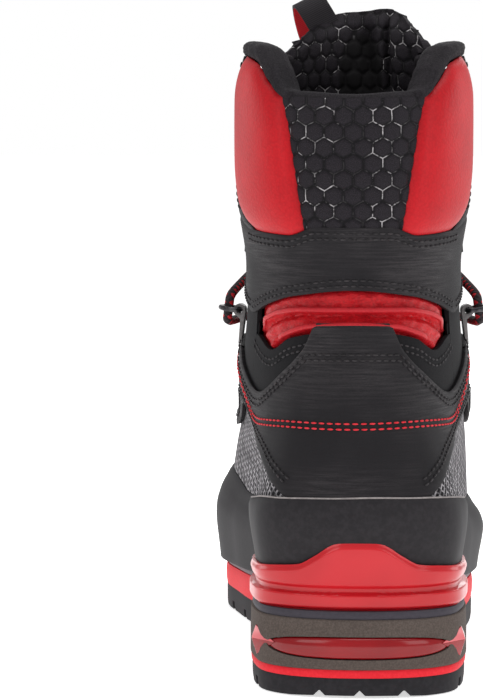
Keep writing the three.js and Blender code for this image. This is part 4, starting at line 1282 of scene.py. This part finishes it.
def make_ankle():
    lining = panel("ankle_lining", -150, 150, 113, 149, -2.7, -6.1, pitch=3)
    settle(lining, "lining", "soft_lining", "ankle", "liner_ankle")

    def relief(angle, level, u, w):
        ridges = 0
        for piping, size in ((piping_upper, 2.3), (piping_lower, 2.1)):
            line = piping(angle)
            ridges = ridges + size * hump(level, line, 1.25) - 1.5 * hump(level, line - 2.4, 1.2)
        between = 1.1 * hump(level, (piping_upper(angle) + piping_lower(angle)) / 2 - 0.3, 2.2)
        crown = 1.2 * hump(level, piping_upper(angle) + 4.2, 2.6)
        near = np.minimum(level - flex_low(angle), band_low(angle) + 1 - level)
        side = FLEX_END - np.abs(angle)
        shown = ease(near, -1.5, 2.6) * ease(side, -1, 12)
        return (ridges + between + crown + wrinkles(angle, level, 0.2) + 1.6) * shown - 1.6

    bellows = panel("red_bellows", -FLEX_END - 1, FLEX_END + 1, lambda a: flex_low(a) - 2.5,
                    lambda a: band_low(a) + 2.5, 0.9, -0.6, pitch=0.75, rounding=0, shape=relief)
    settle(bellows, "bellows", "red_leather", "ankle", "flex_insert")
    for number, (piping, end) in enumerate(((piping_upper, 60), (piping_lower, 47))):
        angle = np.linspace(-end, end, 130)
        tuck = 3.6 * (1 - ease(end - np.abs(angle), 0, 12))
        line = skin(angle, piping(angle) + 0.1, 2.9 - tuck)
        welt = sweep(f"bellows_piping_{number + 1}", line, 0.95, 10)
        settle(welt, "piping", "red_leather", "ankle")

    def top(angle):
        return np.where(np.abs(angle) > FLEX_END, band_low(angle) + 4, flex_low(angle) - 0.1)

    for name, side in SIDES.items():
        ends = (0.0, 152) if side > 0 else (-152, 0.0)
        gusset = panel(f"ankle_gusset_cloth_{name}", *ends, 100.5, top, 2.35, 0.6, pitch=1.6,
                       origin=side * 75, rounding=0.3)
        settle(gusset, "gusset", "stretch_gusset", "ankle", f"ankle_gusset_{name}")


make_foot()
make_ankle()


# ---- cuff --------------------------------------------------------------------------------
def hex_rim(angle, level, origin):
    """How far inside its honeycomb cell a point is, in millimetres."""
    x = girth(angle, level) - girth(np.full_like(level, origin), level)
    tall = HEX_WIDTH * math.sqrt(3)

    def wrap(value, period):
        return np.mod(value + period / 2, period) - period / 2

    def out_from(a, b):
        return np.maximum(np.abs(a), np.abs(a) * 0.5 + np.abs(b) * math.sqrt(3) / 2)

    first = out_from(wrap(x, HEX_WIDTH), wrap(level, tall))
    second = out_from(wrap(x + HEX_WIDTH / 2, HEX_WIDTH), wrap(level + tall / 2, tall))
    return HEX_WIDTH / 2 - np.minimum(first, second)


def edge_pull(u, w, wide=14.0, tall=14.0):
    return (1 - np.exp(-np.minimum(u, 1 - u) * wide)) * (1 - np.exp(-np.minimum(w, 1 - w) * tall))


def make_cuff():
    lining = panel("cuff_lining", -149, 149, 145, lambda a: np.minimum(pad_top(a), BACK_RIM) - 0.5,
                   -2.7, -6.2, pitch=3)
    settle(lining, "lining", "soft_lining", "cuff", "liner_cuff")
    band = panel("cuff_band_leather", -150, 150, band_low, band_top, 3.5, 0, pitch=1.9,
                 shape=turned_edge(0.5, 1.2))
    settle(band, "microfibre", "black_microfibre", "cuff", "cuff_band")

    def hex_relief(angle, level, u, w):
        quilted = 0.55 * (ease(hex_rim(angle, level, 0), 0.0, 1.5) - 0.5)
        return quilted + 0.9 * edge_pull(u, w, 20, 16) - 0.4

    honeycomb = panel("honeycomb_panel", lambda v: -pad_inner(v), lambda v: pad_inner(v),
                      lambda a: band_top(a) - 1.5, BACK_RIM, 2.7, 0, pitch=0.8, rounding=0,
                      shape=hex_relief)
    settle(honeycomb, "hex", "honeycomb_fabric", "cuff", "cuff_hex_panel")

    def swell(angle, level, u, w):
        return 3.9 * edge_pull(u, w, 13, 13) ** 0.8 - 1.0

    for name, side in SIDES.items():
        edges = [lambda v, s=side: s * pad_inner(v), lambda v, s=side: s * (pad_outer(v) + 0.3)]
        if side < 0:
            edges.reverse()
        pad = panel(f"red_pad_{name}", *edges, lambda a: band_top(a) - 0.6, pad_top, 3.0, -0.2,
                    pitch=1.3, rounding=0, origin=side * 55, shape=swell)
        settle(pad, "leather", "red_leather", "cuff", f"cuff_pad_{name}")
        edges = [lambda v, s=side: s * (pad_outer(v) - 0.2), lambda v, s=side: s * 150.0 + 0 * v]
        if side < 0:
            edges.reverse()
        flap = panel(f"cuff_flap_leather_{name}", *edges, lambda a: band_top(a) - 0.4, pad_top,
                     3.5, 0, pitch=1.9, origin=side * 115, shape=turned_edge(0.4, 1.2))
        settle(flap, "microfibre", "black_microfibre", "cuff", f"cuff_flap_{name}")


def section_roll(name, angles, low, high, inner, outer, power=0.72, bumps=None):
    """A padded roll along the collar, of rounded section, closed softly at both ends."""
    sides = 20
    turn = np.arange(sides) / sides * 2 * math.pi
    rings = []
    for i, angle in enumerate(angles):
        share = i / (len(angles) - 1)
        close = min(1.0, (min(share, 1 - share) * len(angles) / 4 + 0.02)) ** 0.5
        c = np.sign(np.cos(turn)) * np.abs(np.cos(turn)) ** power
        s = np.sign(np.sin(turn)) * np.abs(np.sin(turn)) ** power
        low_at, high_at = float(low(angle)), float(high(angle))
        level = (low_at + high_at) / 2 + (high_at - low_at) / 2 * s * close
        inner_at = float(value_at(inner, np.array(angle)))
        depth = (inner_at + outer) / 2 + (outer - inner_at) / 2 * c * close
        if bumps is not None:
            depth = depth + bumps(angle, level)
        rings.append(skin(np.full(sides, angle), level, depth))
    return loft(name, np.array(rings), angle=180)


def make_collar():
    def bumps(angle, level):
        return 0.35 * np.sin(angle * 0.5) * np.sin(level * 0.9 + angle * 0.2)

    def low(angle):
        return pad_top(angle) - mix(0.5, 0.0, ease(abs(angle), 30, 60))

    def high(angle):
        return np.maximum(roll_top(angle), 217.0)

    for name, side in SIDES.items():
        angles = side * np.linspace(27, 143, 90)
        roll = section_roll(f"collar_padding_{name}", angles, low, high, -8.2, 3.6, bumps=bumps)
        settle(roll, "roll", "soft_lining", "cuff", f"collar_roll_{name}")
    angles = np.linspace(-36, 36, 60)
    rim = section_roll("back_rim_padding", angles, lambda a: np.array(208.0),
                       lambda a: np.array(217.2) - 0.8 * hump(a, 0, 14), -6.6, 2.4, power=0.85)
    settle(rim, "roll", "soft_lining", "cuff")


def make_tongue():
    lower = panel("tongue_lower_leather", 156, 204, THROAT_LEVEL - 2, 123.6, -0.8, -5.4,
                  origin=180, rounding=0.8)
    settle(lower, "smooth_microfibre", "black_microfibre", "foot", "tongue_lower")
    middle = panel("tongue_middle_cloth", 151, 209, 120, 149, -0.7, -5.2, origin=180, pitch=1.6,
                   shape=lambda a, v, u, w: 0.5 * np.sin(v * 0.9) * edge_pull(u, w))
    settle(middle, "gusset", "stretch_gusset", "ankle", "tongue_mid")
    half = through((146, 28), (200, 29), (220, 36), (238, 46))
    top_edge = through(
        (132, TONGUE_TOP - 22), (138, TONGUE_TOP - 12), (146, TONGUE_TOP - 6),
        (156, TONGUE_TOP - 2.5), (168, TONGUE_TOP - 1.5), (180, TONGUE_TOP - 2.5),
        (192, TONGUE_TOP - 5), (204, TONGUE_TOP - 9), (214, TONGUE_TOP - 13),
        (222, TONGUE_TOP - 18), (228, TONGUE_TOP - 26))
    shell = panel("tongue_shell", lambda v: 180 - half(v), lambda v: 180 + half(v),
                  lambda a: 147 + 0 * a, lambda a: top_edge(a) - 2.0, -0.8, -4.0, origin=180,
                  rounding=1.2, pitch=1.8)
    settle(shell, "microfibre", "honeycomb_fabric", "cuff")

    def folds(angle, level, u, w):
        deep = ease(level, 196, 226)
        kept = ease(top_edge(angle) - level, 0, 9)
        fold = (3.6 * hump(angle, 177.6, 2.2) + 3.0 * hump(angle, 166.2, 2.2)) * deep * kept
        bulge = (1.8 * hump(angle, 172, 4.5) + 1.6 * hump(angle, 186, 7)
                 + 1.2 * hump(angle, 158, 6)) * deep * kept
        rolled = 1.6 * (1 - ease(top_edge(angle) - level, 0, 5))
        beside = 3.2 * deep * (hump(angle, 192, 7) + hump(angle, 160, 6))
        flared = 2.4 * (1 - ease(np.minimum(u, 1 - u), 0, 0.12)) * ease(level, 190, 220)
        cell = ease(hex_rim(angle, level, 180), 0, 1.5)
        return fold - bulge - beside * kept + rolled + flared - 0.5 * cell

    lining = panel("tongue_lining", lambda v: 180 - half(v), lambda v: 180 + half(v),
                   lambda a: 147 + 0 * a, top_edge, -7.2, -3.0, origin=180, rounding=1.0,
                   pitch=1.0, shape=folds, inward=True)
    settle(lining, "hex_inner", "honeycomb_fabric", "cuff", "tongue_upper")


make_cuff()
make_collar()
make_tongue()


# ---- pull loop, hooks, loops and bails ---------------------------------------------------
def make_pull_loop():
    """A strap folded into a loop, black outside and red inside, leaning to one side."""
    root = skin(np.array(-166.0), np.array(TONGUE_TOP - 6.0), np.array(-5.0))
    lean = math.radians(27)
    axes = np.array([[math.cos(lean), 0, math.sin(lean)],
                     [-math.sin(lean), 0, math.cos(lean)], [0, 1, 0]])
    thick, wide = 1.3, 12.0
    path = [(2.5, -13, 1), (2, -7, 0), (1.5, 0, -0.6), (1, 6, -0.9), (0.6, 9.4, 0.4),
            (0, 10.6, 2.8), (-0.6, 9.8, 5.4), (-1.8, 6.4, 6.8), (-3.2, 0, 7),
            (-4, -7, 6.4), (-4.4, -13, 5.6)]
    line = smooth_line(np.array(path), 5)
    ahead = unit(np.gradient(line, axis=0))
    out = unit(np.cross([1, 0, 0], ahead))
    columns, rows = len(line) - 1, 8
    strap, column, row = sheet_of("tongue_pull_loop", columns, rows)
    side = np.linspace(wide / 2, -wide / 2, rows + 1)
    face = line - out * thick / 2
    points = face[:, None] + side[None, :, None] * np.array([1.0, 0, 0])
    write_points(strap, (root + points @ axes)[column, row])
    values = np.stack(np.meshgrid(travelled(line), side, indexing="ij"), -1)
    write_map(strap, values[column, row][:, ::-1] * MM)
    strap.data.materials.append(looks["web_black"])
    strap.data.materials.append(looks["web_red"])
    modify(strap, "SOLIDIFY", thickness=thick * MM, offset=-1, material_offset=1)
    round_edges(strap, 0.25, 50)
    smooth(strap)
    settle(strap, None, "webbing", "cuff", "pull_loop")


def refined(node, name, look, slot, body, bevel):
    """A CAD solid with its doubles merged and its edges rounded."""
    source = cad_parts[node]
    data = bpy.data.meshes.new(name)
    shell = bmesh.new()
    shell.from_mesh(source.data)
    bmesh.ops.remove_doubles(shell, verts=shell.verts, dist=0.01 * MM)
    bmesh.ops.dissolve_limit(shell, angle_limit=math.radians(1), verts=shell.verts,
                             edges=shell.edges)
    shell.to_mesh(data)
    shell.free()
    piece = bpy.data.objects.new(name, data)
    bpy.context.scene.collection.objects.link(piece)
    round_edges(piece, bevel, 35, 3)
    smooth(piece, 40)
    settle(piece, look, slot, body, node)


LOOP_ANGLE, LOOP_LEVELS, LOOP_RADIUS, LOOP_WIRE = 150, (103, 111, 119), 3.6, 1.6
HOOK_ANGLE, HOOK_LEVELS = 131, (153.5, 200)
RING_ANGLE, RING_LEVEL, RING_RADIUS, BAR_HEIGHT, WIRE = 104, 131, 4.6, 2.4, 2.0
LOOP_SEAT, HOOK_SEAT, FITTING_SEAT = 5.2, 3.9, 4.3


def wire_ring(name, at, line, across, radius, sides, body, node):
    """A wire bent to a closed line that lies in a fitting's own x and z."""
    turn = np.arange(sides) / sides * 2 * math.pi
    rings = [[at(*(point + radius * (math.cos(k) * way + math.sin(k) * np.array([0, 1, 0]))))
              for k in turn] for point, way in zip(line, across)]
    ring_piece(name, np.array(rings), "steel", "dark_steel", body, node)


def make_fittings():
    turn = np.linspace(0, 2 * math.pi, 37)[:-1]
    spokes = np.array([[math.cos(t), 0, math.sin(t)] for t in turn])
    circle = np.array([0, 0, LOOP_RADIUS + LOOP_WIRE / 2]) + spokes * LOOP_RADIUS
    for name, side in SIDES.items():
        for i, level in enumerate(LOOP_LEVELS):
            wire_ring(f"lace_ring_{i + 1}_{name}", seat(side, LOOP_ANGLE, level, LOOP_SEAT), circle,
                      spokes, LOOP_WIRE / 2, 10, "foot", f"lace_loop_{i + 1}_{name}")
        for i in range(len(HOOK_LEVELS)):
            refined(f"lace_hook_{i + 1}_{name}", f"speed_hook_{i + 1}_{name}", "steel",
                    "dark_steel", "cuff", bevel=0.45)
        refined(f"ankle_tab_{name}", f"bail_tab_{name}", "tab", "plate_nylon", "foot", bevel=0.5)
        make_bail(name, side)


def ring_piece(name, rings, look, slot, body, *nodes):
    """A closed ring of round section."""
    count, sides, _ = rings.shape
    faces = []
    for i in range(count):
        for j in range(sides):
            k, n = (j + 1) % sides, (i + 1) % count
            faces.append((i * sides + j, i * sides + k, n * sides + k, n * sides + j))
    piece = solid(name, rings.reshape(-1, 3), faces)
    face_out(piece)
    smooth(piece, 180)
    return settle(piece, look, slot, body, *nodes)


def make_bail(name, side):
    """A wire bow with a straight bar across its feet, that turns in the tab."""
    at = seat(side, RING_ANGLE, RING_LEVEL, FITTING_SEAT)
    legs = 3
    bow = [(RING_RADIUS * math.cos(t), 0, BAR_HEIGHT + legs + RING_RADIUS * math.sin(t))
           for t in np.linspace(0, math.pi, 9)]
    corner, bar = 0.9, BAR_HEIGHT
    path = [(RING_RADIUS, 0, bar + corner), *bow, (-RING_RADIUS, 0, bar + corner),
            (-RING_RADIUS + corner, 0, bar), (0, 0, bar), (RING_RADIUS - corner, 0, bar),
            (RING_RADIUS, 0, bar + corner)]
    line = smooth_line(path, 5)[:-1]
    ahead = unit(np.roll(line, -1, 0) - np.roll(line, 1, 0))
    wire_ring(f"ankle_bail_wire_{name}", at, line, np.cross(ahead, [0, 1, 0]), WIRE / 2, 12,
              f"bail_{name}", f"ankle_bail_{name}")


# ---- lace --------------------------------------------------------------------------------
OVER_DEPTH, UNDER_DEPTH = 9, 4.4
ON_FOOT = 4.0 + LACE / 2 + 1.6
ON_CUFF = 3.3 + LACE / 2 + 1.2
LACE_IN_HOOK = (SEAT_GAP + LACE / 2 + 0.2, 3.4)
LACE_IN_LOOP = (0, LOOP_RADIUS + LOOP_WIRE / 2)
LACE_IN_RING = (0, 7.0)


def passing(at, middle, reach):
    """The lace's way past one fitting, from below it to above it. It comes in from near the
    throat, and bends to where it lies in the fitting."""
    x, z = middle
    near = -5
    bend = x + 0.16 * (near - x)
    steps = [(near, -reach - 3), (bend, -reach), (x, -reach * 0.4), (x, reach * 0.4),
             (bend, reach), (near, reach + 3)]
    return [at(away, up, z) for away, up in steps]


def on_boot(angle, level, depth):
    return skin(np.array(float(angle)), np.array(float(level)), np.array(float(depth)))


def lace_half(side, depth):
    """One half of the lace, from the bar at the throat's lower end up to the knot."""
    loop = lambda s, v: seat(s, LOOP_ANGLE, v, LOOP_SEAT)
    hook = lambda s, v: seat(s, HOOK_ANGLE, v, HOOK_SEAT)
    foot = lambda s, v: on_boot(s * 161, v, ON_FOOT)
    cuff = lambda s, v: on_boot(s * 151, v, ON_CUFF)
    crossing = lambda v: on_boot(180, v, depth)
    one, two, three = LOOP_LEVELS
    low, high = HOOK_LEVELS
    route = [*passing(loop(side, one), LACE_IN_LOOP, 4),
             foot(side, one + 3.3), crossing((one + two) / 2), foot(-side, two - 3.3),
             *passing(loop(-side, two), LACE_IN_LOOP, 4),
             foot(-side, two + 3.3), crossing((two + three) / 2), foot(side, three - 3.3),
             *passing(loop(side, three), LACE_IN_LOOP, 4)[:5],
             on_boot(side * 138, 123, 9.5), on_boot(side * 124, 125.5, 10),
             *passing(seat(side, RING_ANGLE, RING_LEVEL, FITTING_SEAT), LACE_IN_RING, 4.5)[1:5],
             on_boot(side * 118, 138, 10), on_boot(side * 134, 141.5, 9),
             on_boot(side * 150, 143.5, 7.6), on_boot(side * 164, 145, mix(7.6, depth, 0.5)),
             crossing(146.5), on_boot(-side * 164, 147.6, mix(ON_CUFF, depth, 0.5)),
             cuff(-side, low - 5), *passing(hook(-side, low), LACE_IN_HOOK, 6.5),
             cuff(-side, low + 13), crossing((low + high) / 2), cuff(side, high - 12),
             *passing(hook(side, high), LACE_IN_HOOK, 6.5), cuff(side, high + 9),
             on_boot(side * 166, 211.5, 6.8),
             on_boot(side * 176.9, KNOT_LEVEL - 0.7, KNOT_DEPTH - 1)]
    return route


def make_lace():
    bar = [on_boot(a, LOOP_LEVELS[0] - 2.6, ON_FOOT) for a in (-160, 180, 160)]
    route = [*lace_half(-1, UNDER_DEPTH)[::-1], *bar, *lace_half(1, OVER_DEPTH)]
    lace = sweep("lace_through_hooks", smooth_line(route, 4), LACE / 2, 10)
    settle(lace, "lace", "lace_cord", "ankle", "lace")
    around, up, out = axes_at(np.array(180.0), np.array(float(KNOT_LEVEL)))
    middle = on_boot(180, KNOT_LEVEL, KNOT_DEPTH + 1)
    turns = np.linspace(0, 2 * math.pi, 91)[:-1]
    knot = np.stack([(2 + np.cos(3 * turns)) * np.cos(2 * turns) * 1.55,
                     (2 + np.cos(3 * turns)) * np.sin(2 * turns) * 1.15,
                     np.sin(3 * turns) * 1.7], -1)
    line = middle + knot @ np.stack([around, up, out])
    tied = sweep("lace_bow_knot", np.vstack([line, line[:1]]), LACE / 2 * 0.95, 10)
    settle(tied, "lace", "lace_cord", "cuff", "lace_knot")


make_pull_loop()
make_fittings()
make_lace()


# ---- sewing ------------------------------------------------------------------------------
def double(rows_of, *gaps):
    return [row for gap in gaps for row in rows_of(gap)]


def make_sewing():
    thread = dict(look="black_thread", slot="black_microfibre")
    cuff_rows = double(lambda g: [
        run(-66, 66, lambda a: band_top(a) - g, 3.75),
        run(-64, 64, lambda a: band_low(a) + g - 0.3, 3.75),
        run(-148, -66, lambda a: band_low(a) + g, 3.75),
        run(66, 148, lambda a: band_low(a) + g, 3.75),
    ], 2.2, 4.2)
    for side in SIDES.values():
        cuff_rows += double(lambda g, s=side: [
            climb(lambda v: s * (pad_outer(v) + 1.4 + g), 172, 226, 3.75),
            climb(lambda v: s * (148.5 - g) + 0 * v, 150, 219, 3.75)], 1.2, 4.2)
    stitches("cuff_sewing", cuff_rows, body="cuff", **thread)
    heel_line = mirrored(through(
        (0, 122.4), (20.5, 122.4), (24, 120.2), (33, 113.4), (50, 104.4), (70, 111.8), (84, 117.2)))
    foot_rows = double(lambda g: [
        run(-83, 83, lambda a: heel_line(a) + g, 4.45),
        run(-83, -17, lambda a: heel_panel_low(a) + 4.4 - g, 4.45),
        run(17, 83, lambda a: heel_panel_low(a) + 4.4 - g, 4.45),
        run(85, 156, lambda a: overlay_top(a) - 3 - g, 4.45),
        run(-156, -85, lambda a: overlay_top(a) - 3 - g, 4.45),
        run(86, 150, lambda a: overlay_low(a) + 4 - g, 4.45),
        run(-150, -86, lambda a: overlay_low(a) + 4 - g, 4.45),
    ], 0, -2.1)
    for side in SIDES.values():
        foot_rows += double(lambda g, s=side: [
            climb(lambda v: s * (155.5 - g) + 0 * v, 88, 121, 4.45)], 0, 2.6)
    stitches("heel_sewing", foot_rows, body="foot", **thread)
    red_line = mirrored(through(
        (0, 96.6), (44, 96.4), (52, 97.5), (62, 103), (74, 111), (86, 115.5), (110, 117)))
    red_rows = double(lambda g: [run(-112, 112, lambda a: red_line(a) + g, 4.5, 320)], 1.0, -1.0)
    stitches("red_sewing", red_rows, "red_thread", "red_leather", "foot", 2.3, 3.1, 0.4)
    gusset_line = mirrored(through(
        (16, 127), (32, 124.6), (45, 119.8), (60, 124.6), (66, 129)))
    gusset_rows = double(lambda g: [
        run(-62, -18, lambda a: gusset_line(a) - g, 2.45),
        run(18, 62, lambda a: gusset_line(a) - g, 2.45)], 0.4, 2.5)
    stitches("gusset_sewing", gusset_rows, body="ankle", **thread)


make_sewing()

for node, look in {
    "footbed": "lining", "lasting_board": "board", "heel_counter": "board", "toe_puff": "board",
}.items():
    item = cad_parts[node]
    item.data.materials.clear()
    item.data.materials.append(looks[look])


# ---- floor -------------------------------------------------------------------------------
FLOOR_GLOW = 0.62


def make_floor():
    deselect()
    bpy.ops.mesh.primitive_plane_add(size=60, location=(0, 20, -0.0004))
    floor = bpy.context.object
    floor.name = "floor"
    f = Finish("pale_floor")
    grain = f.noise(f.place(), 12, 2)
    floor.data.materials.append(f.finish(
        f.blend(grain, (0.92, 0.92, 0.92), (0.95, 0.95, 0.95)), 0.95,
        Emission_Color=(1.0, 1.0, 1.0), Emission_Strength=FLOOR_GLOW))


make_floor()
